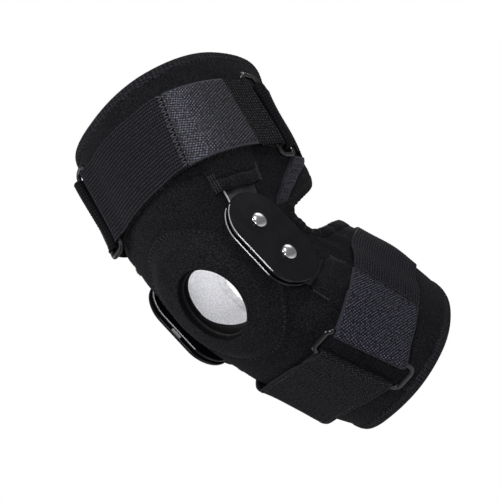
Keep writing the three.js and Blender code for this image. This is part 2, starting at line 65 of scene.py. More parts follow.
def startMaterial(name, **sockets):
    mat = bpy.data.materials.new(name)
    mat.use_nodes = True
    tree = mat.node_tree
    tree.nodes.clear()
    surface = addNode(tree, "ShaderNodeBsdfPrincipled", sockets)
    addNode(tree, "ShaderNodeOutputMaterial", {"Surface": surface})
    return mat, tree, surface.node


# colour between two tints, and relief, from one pattern
def dress(tree, shader, factor, low, high, height, depthMm):
    tint = addNode(tree, "ShaderNodeMix", {0: factor, 6: linear(low), 7: linear(high)}, 2, data_type="RGBA")
    relief = addNode(tree, "ShaderNodeBump", {"Height": height, "Distance": depthMm * mm})
    tree.links.new(tint, shader.inputs["Base Color"])
    tree.links.new(relief, shader.inputs["Normal"])
    return tint


# Knit-faced neoprene: a matte black jersey, with speckles where the loops catch light.
# In every Map Range, inputs 1 and 2 are the range that is read and 3 and 4 the one that is given
jersey = dict(cloudMm=34, reliefMm=0.3, roughness=0.85, sheenTint="8c8c94", cut="060607")


def knitNeoprene(name, low, high, loopMm, sheen, edgeMark=None):
    mat, tree, shader = startMaterial(name, Roughness=jersey["roughness"], **{
        "Specular IOR Level": 0.1, "Sheen Weight": sheen, "Sheen Roughness": 0.5,
        "Sheen Tint": linear(jersey["sheenTint"])})
    place = addNode(tree, "ShaderNodeTexCoord", out="Object")
    loops, cloud = (
        addNode(tree, "ShaderNodeTexNoise", {"Vector": place, "Scale": 1 / (size * mm), "Detail": detail})
        for size, detail in ((loopMm, 1.0), (jersey["cloudMm"], 4.0)))
    speck = addNode(tree, "ShaderNodeMapRange", {0: loops, 1: 0.42, 2: 0.72})
    drift = addNode(tree, "ShaderNodeMapRange", {0: cloud, 1: 0.3, 2: 0.7, 3: 0.6, 4: 1.0})
    both = addNode(tree, "ShaderNodeMath", {0: speck, 1: drift}, operation="MULTIPLY")
    plain = dress(tree, shader, both, low, high, loops, jersey["reliefMm"])
    if edgeMark:  # black where the piece is marked as an edge
        marked = addNode(tree, "ShaderNodeAttribute", out="Fac", attribute_name=edgeMark)
        cut = addNode(tree, "ShaderNodeMix", {0: marked, 6: plain, 7: linear(jersey["cut"])}, 2,
                      data_type="RGBA")
        tree.links.new(cut, shader.inputs["Base Color"])
    return mat


# Woven tapes read the piece's own UV map, which is in mm: u along the tape, v across it
fibre = dict(fuzzPerMm=0.7, wanderPerMm=0.25, wanderMm=14, turnMm=1.5, selvedge=0.22, selvedgeMm=0.4)


def wovenTape(name, low, high, threads, roughness, depthMm, gloss=0.1, **extra):
    mat, tree, shader = startMaterial(name, Roughness=roughness, **{"Specular IOR Level": gloss})
    place = addNode(tree, "ShaderNodeUVMap", uv_map="clothMm")
    alongMm, acrossMm, _ = addNode(tree, "ShaderNodeSeparateXYZ", {0: place}).node.outputs

    def threadRows(pitchMm, turnDeg):
        turned = addNode(tree, "ShaderNodeMapping", {0: place, 2: (0, 0, math.radians(turnDeg))})
        # a wave repeats every 2 pi / 20 of its scaled coordinate
        return addNode(tree, "ShaderNodeTexWave", {
            "Vector": turned, "Scale": math.pi / 10 / pitchMm, "Distortion": 0.7, "Detail": 1.0,
            "Detail Scale": 1.5}, "Fac")

    def weave(rows, beads):
        height = extra.get("base", 0.0)
        for pitchMm, turnDeg, share in rows:
            height = addNode(tree, "ShaderNodeMath", {0: threadRows(pitchMm, turnDeg), 1: share, 2: height},
                             operation="MULTIPLY_ADD")
        if beads:  # each thread dips under its neighbours and shows as a row of dots
            pitchMm, turnDeg, dip = beads
            over = addNode(tree, "ShaderNodeMapRange", {
                0: threadRows(pitchMm, turnDeg), 3: 1 - dip, 4: 1.0})
            height = addNode(tree, "ShaderNodeMath", {0: height, 1: over}, operation="MULTIPLY")
        return height

    height = weave(threads, extra.get("beads"))
    chevron = extra.get("chevron")
    if chevron:  # threads turn the other way before the tape's first few mm, on a line that wanders
        wander = addNode(tree, "ShaderNodeTexNoise", {"Vector": place, "Scale": fibre["wanderPerMm"]})
        along = addNode(tree, "ShaderNodeMath", {0: wander, 1: -fibre["wanderMm"], 2: alongMm},
                        operation="MULTIPLY_ADD")
        middle = chevron["untilMm"] - fibre["wanderMm"] / 2
        past = addNode(tree, "ShaderNodeMapRange", {
            0: along, 1: middle - fibre["turnMm"], 2: middle + fibre["turnMm"]})
        height = addNode(tree, "ShaderNodeMix", {
            0: past, 2: weave(chevron["threads"], chevron["beads"]), 3: height})
    fuzz = addNode(tree, "ShaderNodeTexNoise", {
        "Vector": place, "Scale": fibre["fuzzPerMm"], "Detail": 2.0})
    dull, bright = extra.get("glint", (0.0, 1.75))
    shades = [addNode(tree, "ShaderNodeMapRange", {0: fuzz, 1: 0.34, 2: 0.68, 3: dull, 4: bright})]
    if "fadeMm" in extra:  # painted sheen: brighter near the sewn end, duller towards the free end
        begin, end, least = extra["fadeMm"]
        shades.append(addNode(tree, "ShaderNodeMapRange", {0: alongMm, 1: begin, 2: end, 3: 1.0, 4: least}))
    if "furrowShade" in extra:  # painted shade: the furrows between ribs are darker
        rib = addNode(tree, "ShaderNodeAttribute", out="Fac", attribute_name="rib")
        shades.append(addNode(tree, "ShaderNodeMapRange", {0: rib, 3: extra["furrowShade"], 4: 1.0}))
    factor = height
    for shade in shades:
        factor = addNode(tree, "ShaderNodeMath", {0: factor, 1: shade}, operation="MULTIPLY")
    if "selvedgeMm" in extra:  # a plain band along both edges
        side = addNode(tree, "ShaderNodeMath", {0: acrossMm}, operation="ABSOLUTE")
        edge, soft = extra["selvedgeMm"], fibre["selvedgeMm"]
        band = addNode(tree, "ShaderNodeMapRange", {0: side, 1: edge - soft, 2: edge + soft})
        factor = addNode(tree, "ShaderNodeMix", {0: band, 2: factor, 3: fibre["selvedge"]})
    dress(tree, shader, factor, low, high, height, depthMm)
    return mat


# Moulded or coated surfaces: one colour with a faint grain, and wear from a slow noise
wear = dict(cloudMm=14, smoothest=0.85, roughest=1.2)


def smoothFinish(name, low, high, roughness, grainMm, depthMm, **sockets):
    mat, tree, shader = startMaterial(name, **sockets)
    place = addNode(tree, "ShaderNodeTexCoord", out="Object")
    grain, cloud = (
        addNode(tree, "ShaderNodeTexNoise", {"Vector": place, "Scale": 1 / (size * mm), "Detail": detail})
        for size, detail in ((grainMm, 3.0), (wear["cloudMm"], 2.0)))
    rough = addNode(tree, "ShaderNodeMapRange", {
        0: cloud, 1: 0.3, 2: 0.7, 3: roughness * wear["smoothest"], 4: roughness * wear["roughest"]})
    tree.links.new(rough, shader.inputs["Roughness"])
    dress(tree, shader, cloud, low, high, grain, depthMm)
    return mat


coolGlint = {"Specular Tint": linear("d2d2de")}  # black polymers and coats shine a little blue
elastic = dict(threads=[(1.7, 0, 0.5)], roughness=0.7, depthMm=0.15, base=0.15, glint=(0.35, 1.5),
               furrowShade=0.0)
selvedgeAt = 27.3  # mm from the middle of a tab
finishes = {
    # laminated neoprene, its loops drawn a little larger than the real 0.6 mm so that the speckle shows
    "sleeve": knitNeoprene("neoprene_knit", "08080a", "2e2e33", 0.8, 0.05),
    # the lining is a pale brushed jersey, which the hole and the open ends show in shade
    "lining": knitNeoprene("lining_brushed_jersey", "c4c4c8", "e4e4e6", 1.2, 0.1, edgeMark="holeEdge"),
    "pad": knitNeoprene("pad_brushed_knit", "0d0d0f", "2c2c31", 1.0, 0.08),
    # raw foam where the hole is cut: duller and blacker than the jersey
    "cutEdge": knitNeoprene("neoprene_cut_edge", "030304", "0c0c0e", 1.4, 0.0),
    # folded edge tape: the same black jersey as the sleeve, with the crimp of its seam
    "tape": wovenTape("binding_tape_knit", "111114", "36363c", [(3.1, 0, 0.4), (1.7, 74, 0.4)], 0.85, 0.25),
    "overlock": knitNeoprene("overlock_edge_knit", "0b0b0d", "242428", 1.1, 0.05),
    # painted highlight: the wrap edge's binding is drawn paler than the rim tape
    "hemBand": knitNeoprene("hem_knit_painted_highlight", "18181c", "4a4a54", 1.0, 0.3),
    "welt": knitNeoprene("welt_brushed_knit", "0e0e10", "2e2e34", 1.0, 0.15),
    # elastic webbing: lengthwise cords from the mesh, with fine picks across them
    "ribbed": wovenTape("elastic_webbing_ribbed", "040405", "44444e", **elastic),
    # painted shade: the anchor round the back has a darker copy of the same webbing
    "darkRibbed": wovenTape("elastic_webbing_painted_shade", "040405", "2c2c33", **elastic),
    # loop webbing: an open check of cords on black, its knots the palest
    "knit": wovenTape("loop_webbing_check", "040404", "46464a", [(2.3, 0, 0.9)], 0.75, 0.5,
                      beads=(2.3, 90, 0.85)),
    # hook tab: a lustrous twill, its 1 mm threads drawn at 1.8 mm to show, which turn at the sewn end
    "twill": wovenTape("hook_tab_twill", "050507", "7a7a8a", [(1.8, 60, 0.95)], 0.5, 0.3, gloss=0.25,
                       selvedgeMm=selvedgeAt, beads=(1.8, -14, 0.85), fadeMm=(10, 34, 0.5),
                       chevron=dict(untilMm=15, threads=[(1.8, 111, 1.0)], beads=(1.8, 30, 0.8))),
    "darkTwill": wovenTape("calf_tab_twill", "09090c", "626272", [(1.6, -52, 0.95)], 0.6, 0.3,
                           selvedgeMm=selvedgeAt, beads=(1.6, 22, 0.85)),
    # shin webbing: a close plain weave
    "plainWeave": wovenTape("shin_webbing_weave", "0b0b0c", "46464c", [(1.6, 30, 0.7)], 0.75, 0.25,
                            selvedgeMm=selvedgeAt, beads=(1.6, -40, 0.7)),
    # sewing thread: twisted polyester, a little paler than the cloth
    "thread": smoothFinish("polyester_thread_grey", "4c4c54", "7a7a84", 0.55, 0.5, 0.05),
    "greyThread": smoothFinish("polyester_thread_charcoal", "26262a", "46464e", 0.6, 0.5, 0.05),
    "darkThread": smoothFinish("polyester_thread_black", "121214", "24242a", 0.6, 0.5, 0.05),
    # satin-moulded black nylon: almost no grain; its front chamfers are painted pale and smooth as a
    # painted highlight
    "plate": smoothFinish("nylon_satin_black", "07070a", "0a0a0e", 0.26, 0.6, 0.006, **coolGlint),
    "plateRimHighlight": smoothFinish("nylon_edge_painted_highlight", "8c8c90", "c2c2c6", 0.3, 0.6, 0.004, **{
        "Coat Weight": 0.2}),
    # spring steel with a black coat; on the upper arms its narrow edges are painted pale as a painted
    # highlight
    "arm": smoothFinish("steel_black_coated", "08080a", "0d0d10", 0.36, 0.5, 0.01, **coolGlint),
    "armRimHighlight": smoothFinish("steel_edge_painted_highlight", "b4b4b8", "d8d8dc", 0.3, 0.5, 0.0, Metallic=0.3),
    # moulded acetal: glossy where it is handled, dulled by rubbing on the medial side
    "loop": smoothFinish("acetal_gloss_black", "0a0a0c", "101012", 0.09, 0.8, 0.004, **{
        "Specular IOR Level": 0.65}),
    "scuffedLoop": smoothFinish("acetal_scuffed_black", "08080a", "101012", 0.42, 0.8, 0.004),
    # plated domes that mirror the room, and a dull metal stop
    "rivet": smoothFinish("steel_nickel_polished", "c4c4c8", "e6e6ea", 0.2, 0.9, 0.0, Metallic=1.0),
    "stop": smoothFinish("aluminium_tumbled", "8c8c90", "b4b4b8", 0.45, 0.5, 0.02, Metallic=0.7),
    "floor": smoothFinish("paper_white", "f4f4f4", "f7f7f7", 0.9, 3.0, 0.0, **{
        "Emission Color": linear("bababa")}),
}
print("finishes:", len(finishes))


# the leg the brace is worn on: sections stand square to a centre line that bends at the knee

legRows = [  # along, half width, half depth, squareness
    (-150, 53, 53, 2.2), (-120, 58.5, 59, 2.2), (-88, 57.5, 60.5, 2.3), (-56, 56.5, 62, 2.4),
    (-36, 51, 62.5, 2.6), (0, 46, 61, 3.0), (36, 52, 67, 2.6), (56, 60, 70, 2.4),
    (86, 66.5, 72.5, 2.3), (116, 72.5, 75, 2.2), (150, 72, 75, 2.2),
]
legBend = dict(behindHinge=36, thighLean=23, calfLean=24.6, reach=32)
# along, angle, spread along, spread round, mm out: where the worn leg leaves its even sections
legNudges = [
    (110, 136, 26, 18, -8), (30, -40, 18, 15, 6), (50, -40, 11, 14, 4.5), (-86, 130, 20, 20, 3),
    (-130, -42, 16, 22, -2.5), (-45, -38, 13, 14, 2), (-8, -48, 30, 17, 9),
]
topRimRows = [  # angle, along
    (-180, 127), (-145, 130), (-110, 136), (-80, 139.5), (-45, 138.4), (0, 136.4), (45, 140.3),
    (80, 142.6), (110, 138.3), (145, 130), (180, 127),
]
bottomRimRows = [
    (-180, -128), (-145, -130), (-110, -135.5), (-80, -138.5), (-45, -138.5), (0, -137.5), (45, -140),
    (80, -141.5), (110, -139.2), (145, -131.5), (180, -128),
]
layers = dict(neoprene=4.0, gap=0.5, webbing=1.6, tab=1.8)
onSleeve = layers["neoprene"] + layers["gap"]


def throughRows(rows, column, at):
    rows = np.array(rows, float)
    keys, values = rows[:, 0], rows[:, column]
    slopes = np.gradient(values, keys)
    slopes[1:-1] = (values[2:] - values[:-2]) / (keys[2:] - keys[:-2])
    x = np.clip(at, keys[0], keys[-1])
    i = np.clip(np.searchsorted(keys, x) - 1, 0, len(keys) - 2)
    step = keys[i + 1] - keys[i]
    t = (x - keys[i]) / step
    return ((2 * t**3 - 3 * t**2 + 1) * values[i] + (t**3 - 2 * t**2 + t) * step * slopes[i]
            + (3 * t**2 - 2 * t**3) * values[i + 1] + (t**3 - t**2) * step * slopes[i + 1])


def smoothStep(x, low, high):
    t = np.clip((np.asarray(x, float) - low) / (high - low), 0, 1)
    return t * t * (3 - 2 * t)


def bell(x, middle, spread):
    return np.exp(-((x - middle) / spread) ** 2)


def quarterRound(x):
    return np.sqrt(np.clip(1 - (1 - np.clip(x, 0, 1)) ** 2, 0, 1))


def unit(v):
    return v / np.linalg.norm(v, axis=-1, keepdims=True)


def runAlong(p):
    return np.concatenate([[0], np.cumsum(np.linalg.norm(np.diff(p, axis=0), axis=1))])


def cutCorners(p):
    for _ in range(2):
        near, far = p[:-1] * 0.75 + p[1:] * 0.25, p[:-1] * 0.25 + p[1:] * 0.75
        p = np.concatenate([p[:1], np.stack([near, far], 1).reshape(-1, p.shape[1]), p[-1:]])
    return p


def signedTurn(angle):
    return (np.asarray(angle, float) + 540) % 360 - 180


def leanAt(along):
    most = np.where(np.asarray(along) > 0, legBend["thighLean"], legBend["calfLean"])
    return np.radians(most) * along / np.hypot(along, legBend["reach"])


def legPoint(along, angle, out):
    along, angle, out = np.broadcast_arrays(*(np.asarray(x, float) for x in (along, angle, out)))
    for s0, a0, spreadAlong, spreadRound, by in legNudges:
        out = out + by * bell(along, s0, spreadAlong) * bell(signedTurn(angle - a0), 0, spreadRound)
    y = np.full(along.shape, float(legBend["behindHinge"]))
    z = np.zeros(along.shape)
    steps = 24
    for i in range(steps):
        lean = leanAt(along * (i + 0.5) / steps)
        y = y + np.sin(lean) * along / steps
        z = z + np.cos(lean) * along / steps
    square = throughRows(legRows, 3, along)
    s, c = np.sin(np.radians(angle)), np.cos(np.radians(angle))
    wide = throughRows(legRows, 1, along) + out
    deep = throughRows(legRows, 2, along) + out
    reach = (np.abs(s / wide) ** square + np.abs(c / deep) ** square) ** (-1 / square)
    lean = leanAt(along)
    return np.stack([reach * s, y - reach * c * np.cos(lean), z + reach * c * np.sin(lean)], -1)


def outward(along, angle, out):
    step = legPoint(along, np.asarray(angle) + 0.5, out) - legPoint(along, np.asarray(angle) - 0.5, out)
    rise = legPoint(np.asarray(along) + 0.5, angle, out) - legPoint(np.asarray(along) - 0.5, angle, out)
    return unit(np.cross(step, rise))


def fromFront(angle):
    return np.abs(signedTurn(angle))


def rimAt(rows, angle):
    return throughRows(rows, 1, signedTurn(angle))


# the place on the leg that shows at x and z when it is seen from the front
def frontPlace(x, z, out):
    along, angle = z * 0.6, x * 1.0
    for _ in range(40):
        p = legPoint(along, angle, out)
        along = along + (z - p[..., 2]) * 0.5
        angle = angle + np.degrees((x - p[..., 0]) / 75)
    return along, angle


# mesh helpers

def finishPiece(me, work, finish, sharpDeg=None):
    bmesh.ops.recalc_face_normals(work, faces=work.faces)
    work.to_mesh(me)
    work.free()
    for one in [finish] if isinstance(finish, str) else finish:
        me.materials.append(finishes[one])
    me.shade_smooth()
    if sharpDeg:
        me.set_sharp_from_angle(angle=math.radians(sharpDeg))
    made = bpy.data.objects.new(me.name, me)
    bpy.context.scene.collection.objects.link(made)
    return made


def makePiece(name, points, faces, finish, uv=None, marks=None, faceFinish=None, sharpDeg=None):
    me = bpy.data.meshes.new(name)
    me.from_pydata((np.asarray(points, float).reshape(-1, 3) * mm).tolist(), [], [tuple(f) for f in faces])
    me.validate()
    if uv is not None:
        layer = me.uv_layers.new(name="clothMm")
        corner = np.empty(len(me.loops), int)
        me.loops.foreach_get("vertex_index", corner)
        layer.data.foreach_set("uv", np.asarray(uv, float).reshape(-1, 2)[corner].ravel())
    for key, values in (marks or {}).items():
        mark = me.attributes.new(key, "FLOAT", "POINT")
        mark.data.foreach_set("value", np.asarray(values, float).ravel())
    if faceFinish is not None:
        me.polygons.foreach_set("material_index", np.asarray(faceFinish, int))
    work = bmesh.new()
    work.from_mesh(me)
    return finishPiece(me, work, finish, sharpDeg)


def gridFaces(rows, columns, closeRows=False, closeColumns=False, start=0):
    i, j = np.meshgrid(np.arange(rows - (not closeRows)), np.arange(columns - (not closeColumns)),
                       indexing="ij")
    a = i * columns + j
    b = i * columns + (j + 1) % columns
    c = (i + 1) % rows * columns + (j + 1) % columns
    d = (i + 1) % rows * columns + j
    return (np.stack([a, b, c, d], -1).reshape(-1, 4) + start).tolist()


def placed(piece, slotName, *nodes):
    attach(piece, "root")
    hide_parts(*nodes)
    return piece


# sleeve, with the hole over the patella and the opening behind the knee cut through it

hole = dict(halfWidth=24.5, halfHeight=28, up=-4.7)
opening = dict(front=47, back=125, mid=-2.5, half=14, flare=6, corner=11, edge=6.4)
sleeve = dict(around=216, along=156, rimTrim=8.4, holeInset=0.3, fold=0.6, flare=3.3, gather=1.1, ridge=9,
              ridgeMm=7, darkTo=8, paleFrom=10)
# degrees from the front and their spread, mm along and their spread
slackPlaces = dict(fan=(96, 26, 0, 46), lip=(137, 21, 41, 11), gather=(106, 15, -30, 14))


# signed distance from the edge of the opening seen from the side, negative inside it
def openingDistance(p):
    start = opening["front"] + opening["corner"]
    run = np.clip((p[..., 1] - start) / (opening["back"] - start), 0, None)
    half = opening["half"] + opening["flare"] * run - opening["corner"]
    over = np.abs(p[..., 2] - opening["mid"]) - half
    before = start - p[..., 1]
    outside = np.hypot(np.maximum(over, 0), np.maximum(before, 0))
    return outside + np.minimum(np.maximum(over, before), 0) - opening["corner"]


def holeDistance(p):
    wide, high = hole["halfWidth"] - sleeve["holeInset"], hole["halfHeight"] - sleeve["holeInset"]
    ring = (np.hypot(p[..., 0] / wide, (p[..., 2] - hole["up"]) / high) - 1) * wide
    return np.where(p[..., 1] < 30, ring, 50.0)  # the back of the sleeve is far from it


# slack in worn neoprene: shallow folds that fan out from the opening, and a lip above it
def slackAt(along, angle):
    turned = fromFront(angle)
    fan, lip, gather = (bell(turned, a0, spreadRound) * bell(along, s0, spreadAlong)
                        for a0, spreadRound, s0, spreadAlong in slackPlaces.values())
    folds = np.sin(along * 0.36 + turned * 0.09) * fan
    ripple = 0.35 * np.sin(along * 0.11 + 2.1 * np.sin(np.radians(angle) * 3))
    gathered = gather * np.sin(turned * 0.42)
    return sleeve["fold"] * (folds + ripple) + sleeve["flare"] * lip + sleeve["gather"] * gathered


def makeSleeve():
    rows, columns = sleeve["along"] + 1, sleeve["around"]
    angle = np.tile(np.arange(columns) * 360 / columns, (rows, 1))
    low = rimAt(bottomRimRows, angle) + sleeve["rimTrim"]
    high = rimAt(topRimRows, angle) - sleeve["rimTrim"]
    along = low + (high - low) * np.linspace(0, 1, rows)[:, None]
    skin = legPoint(along, angle, layers["neoprene"])
    keep = np.minimum(openingDistance(skin) - opening["edge"], holeDistance(skin)).ravel()
    places = [list(p) for p in np.stack([along.ravel(), angle.ravel()], -1)]
    cuts = {}

    def cutPoint(a, b):
        key = (min(a, b), max(a, b))
        if key not in cuts:
            t = keep[key[0]] / (keep[key[0]] - keep[key[1]])
            (s0, a0), (s1, a1) = places[key[0]], places[key[1]]
            a1 += 360 * round((a0 - a1) / 360)
            cuts[key] = len(places)
            places.append([s0 + t * (s1 - s0), a0 + t * (a1 - a0)])
        return cuts[key]

    faces = []
    for quad in gridFaces(rows, columns, closeColumns=True):
        if all(keep[k] > 0 for k in quad):
            faces.append(quad)
            continue
        part = []
        for a, b in zip(quad, quad[1:] + quad[:1]):
            if keep[a] > 0:
                part.append(a)
            if (keep[a] > 0) != (keep[b] > 0):
                part.append(cutPoint(a, b))
        if len(part) > 2:
            faces.append(part)
    used = sorted({k for f in faces for k in f})
    renumber = {k: i for i, k in enumerate(used)}
    faces = [[renumber[k] for k in f] for f in faces]
    s, a = np.array([places[k] for k in used]).T
    count = len(used)
    slack = slackAt(s, a)
    outer = legPoint(s, a, layers["neoprene"] + slack)
    skin = legPoint(s, a, layers["neoprene"])
    fromHole = holeDistance(skin)
    below = np.clip((hole["up"] - skin[:, 2]) / hole["halfHeight"], 0, 1)
    # an inside ridge props the kneecap from below
    ridge = sleeve["ridge"] * below**1.5 * bell(fromHole, 0, sleeve["ridgeMm"])
    inner = legPoint(s, a, np.maximum(slack, 0) * 0.8 - ridge)
    edges = {}
    for f in faces:
        for k, n in zip(f, f[1:] + f[:1]):
            edges[(k, n)] = edges.get((k, n), 0) + 1
    rims = [(k, n) for k, n in edges if (n, k) not in edges]
    inside = [[k + count for k in reversed(f)] for f in faces]
    walls = [[n, k, k + count, n + count] for k, n in rims]
    tints = [0] * len(faces) + [1] * len(inside) + [2 if fromHole[k] < 2 else 0 for k, _ in rims]
    marks = {"holeEdge": np.tile(1 - smoothStep(fromHole, sleeve["darkTo"], sleeve["paleFrom"]), 2)}
    return makePiece("sleeve_body_cloth", np.concatenate([outer, inner]), faces + inside + walls,
                     ["sleeve", "lining", "cutEdge"], marks=marks, faceFinish=tints)


# a closed slab between an outer and an inner grid of points
def makeSlab(name, outer, inner, finish, uv=None, closeColumns=False, marks=None, rowFinish=None):
    rows, columns = outer.shape[:2]
    count = rows * columns
    faces = gridFaces(rows, columns, closeColumns=closeColumns)
    faces += [[k + count for k in reversed(f)] for f in faces]
    spans = range(columns if closeColumns else columns - 1)
    for row in (0, rows - 1):
        for j in spans:
            a, b = row * columns + j, row * columns + (j + 1) % columns
            faces.append([a, b, b + count, a + count] if row else [b, a, a + count, b + count])
    if not closeColumns:
        for column in (0, columns - 1):
            for i in range(rows - 1):
                a, b = i * columns + column, (i + 1) * columns + column
                faces.append([b, a, a + count, b + count] if column else [a, b, b + count, a + count])
    if uv is not None:
        uv = np.concatenate([uv.reshape(-1, 2)] * 2)
    tints = None
    if rowFinish is not None:  # one finish for each row of faces
        tints = np.tile(np.repeat(rowFinish, len(spans)), 2)
        tints = np.concatenate([tints, np.zeros(len(faces) - tints.size)])
    points = np.concatenate([outer.reshape(-1, 3), inner.reshape(-1, 3)])
    return makePiece(name, points, faces, finish, uv, marks, tints)


# a closed tube of profile rings along a path, as for hems, loops and tapes
def makeTube(name, rings, finish, uv=None, closePath=True, faceFinish=None, sharpDeg=None):
    rows, columns = rings.shape[:2]
    faces = gridFaces(rows, columns, closeRows=closePath, closeColumns=True)
    if not closePath:
        faces += [list(range(columns)), [(rows - 1) * columns + k for k in reversed(range(columns))]]
    return makePiece(name, rings, faces, finish, uv, None, faceFinish, sharpDeg)


# pad: a stuffed ring, full at the hole, tapering to a hem that is whipped down

# shares run from 0 at the hole to 1 at the hem
pad = dict(halfWidth=48, halfHeight=59.5, up=-1, skew=0.1, rise=5.5, hem=1.5, around=328, across=34,
           whip=82, tight=0.3, sewn=0.45, lipShare=0.07, hemShare=0.04, fullTo=0.5, flatFrom=0.93,
           sewnAt=0.9, tightAt=0.95)


def padPlace(turn, u):
    wide, high, up = (hole[key] + (pad[key] - hole[key]) * u for key in ("halfWidth", "halfHeight", "up"))
    x = wide * np.cos(turn)
    return x, up + high * np.sin(turn) - pad["skew"] * u * x


def padHeight(turn, u):
    full = pad["hem"] + (pad["rise"] - pad["hem"]) * (1 - smoothStep(u, pad["fullTo"], pad["flatFrom"]))
    lip = quarterRound(u / pad["lipShare"])
    hem = quarterRound((1 - u) / pad["hemShare"])
    tight = pad["tight"] * np.cos(pad["whip"] * turn) * bell(u, pad["tightAt"], 0.05)
    sewn = pad["sewn"] * bell(u, pad["sewnAt"], 0.018)
    stuffing = 0.22 * np.sin(3 * turn + 1) * np.sin(math.pi * u) + 0.12 * np.sin(11 * turn + 8 * u)
    return np.maximum((full - tight - sewn + stuffing) * (0.35 + 0.65 * lip) * (0.3 + 0.7 * hem), 0.2)


def makePad():
    turn = np.linspace(0, 2 * np.pi, pad["around"], endpoint=False)[None, :]
    u = (0.5 - 0.5 * np.cos(np.pi * np.linspace(0, 1, pad["across"])))[:, None]
    x, z = padPlace(turn, u)
    along, angle = frontPlace(x, z, onSleeve + 2)
    outer = legPoint(along, angle, onSleeve + padHeight(turn, u))
    inner = legPoint(along, angle, onSleeve)
    return makeSlab("patella_pad_stuffed", outer, inner, ["pad", "cutEdge"], closeColumns=True,
                    rowFinish=u[:-1, 0] < pad["lipShare"] * 0.35)


# hems: a folded tape round each rim, as (distance in from the edge, height above the skin)

hem = dict(around=360, pucker=0.22, puckerMm=3.4, radius=70, sewn=6.2)
hemProfile = np.array([
    (8.5, 4.05), (8.0, 4.3), (7.0, 4.6), (5.2, 4.85), (3.0, 4.9), (1.4, 4.55), (0.4, 3.6), (0.0, 2.1),
    (0.4, 0.5), (1.4, -0.4), (3.0, -0.7), (6.8, -0.7), (8.0, -0.4), (8.5, 0.1),
])


def makeRimHem(name, rows, sign):
    angle = (np.arange(hem["around"]) * 360 / hem["around"])[:, None]
    girth = np.radians(angle) * hem["radius"]
    pucker = hem["pucker"] * np.sin(2 * np.pi * girth / hem["puckerMm"])
    inward, height = hemProfile[None, :, 0], hemProfile[None, :, 1]
    soft = pucker * smoothStep(inward, 0, 3) * np.sign(height - 2)
    rings = legPoint(rimAt(rows, angle) - sign * inward, angle, height + soft)
    uv = np.stack(np.broadcast_arrays(girth, inward + height), -1)
    return makeTube(name, rings, "tape", uv)


# the edge of the opening, found on the skin by halving along rays from its middle
def openingEdge(count):
    turn = np.linspace(0, 2 * np.pi, 900, endpoint=False)
    near, far = np.zeros(turn.shape), np.ones(turn.shape)

    def ray(r):
        return opening["mid"] + 75 * r * np.sin(turn), 180 + 110 * r * np.cos(turn)

    for _ in range(28):
        r = (near + far) / 2
        s, a = ray(r)
        within = openingDistance(legPoint(s, a, 2)) < 0
        near, far = np.where(within, r, near), np.where(within, far, r)
    s, a = ray(near)
    p = legPoint(s, a, 2)
    girth = runAlong(np.append(p, p[:1], axis=0))
    even = np.linspace(0, girth[-1], count, endpoint=False)
    return np.interp(even, girth, np.append(s, s[0])), np.interp(even, girth, np.append(a, a[0])), even


overlock = dict(count=900, scallopMm=4.3, scallop=0.95)
overlockProfile = np.array([
    (8.8, 4.05), (7.6, 4.5), (5.0, 4.8), (2.6, 4.9), (1.1, 4.5), (0.2, 3.5), (0.0, 2.1),
    (0.2, 0.7), (1.1, -0.3), (2.6, -0.6), (7.4, -0.6), (8.8, 0.0),
])


# steps along and round the leg that lead one mm from the edge of the opening into the cloth
def edgeSteps(s, a):
    base = legPoint(s, a, 2)
    run = np.roll(base, -1, 0) - np.roll(base, 1, 0)
    into = unit(np.cross(outward(s, a, 2), run))
    into *= np.where(openingDistance(base + into) > openingDistance(base - into), 1, -1)[:, None]
    byAlong = legPoint(s + 0.5, a, 2) - legPoint(s - 0.5, a, 2)
    byAngle = legPoint(s, a + 0.5, 2) - legPoint(s, a - 0.5, 2)
    return [np.sum(into * step, 1) / np.sum(step**2, 1) for step in (byAlong, byAngle)]


def makeOverlock():
    s, a, girth = openingEdge(overlock["count"])
    stepAlong, stepAngle = edgeSteps(s, a)
    lobes = np.round(girth[-1] / overlock["scallopMm"]) * np.pi / (girth[-1] + girth[1])
    uneven = 0.75 + 0.25 * np.sin(girth / 13) * np.sin(girth / 5.3)
    wave = (overlock["scallop"] * uneven * np.abs(np.sin(lobes * girth)))[:, None]
    inward = overlockProfile[None, :, 0] - wave * smoothStep(-overlockProfile[:, 0], -3.2, 0)[None, :]
    along, angle = (x[:, None] + step[:, None] * inward for x, step in ((s, stepAlong), (a, stepAngle)))
    slack = slackAt(along, angle)
    height = overlockProfile[None, :, 1]
    moved = np.where(height > 2, slack, np.maximum(slack, 0) * 0.8)
    rings = legPoint(along, angle, height + moved + 0.2 * wave)
    uv = np.stack(np.broadcast_arrays(girth[:, None], overlockProfile.sum(1)[None, :]), -1)
    within = np.tile(np.isin(np.arange(12), (7, 8, 9, 10)), len(girth))  # its inner side shows the lining
    return makeTube("popliteal_binding_overlock", rings, ["overlock", "lining"], uv, faceFinish=within)


# the bound edge of the wrap, from the opening up under the thigh strap

wrapRows = [(17, 94), (21, 98), (28, 106), (35.5, 113.5), (42, 119.5), (51, 125.5)]  # along, angle
wrapEdge = dict(halfSpread=7.8, height=3.4, steps=84, crimpMm=4.6, crimp=1.0, seam=0.66)


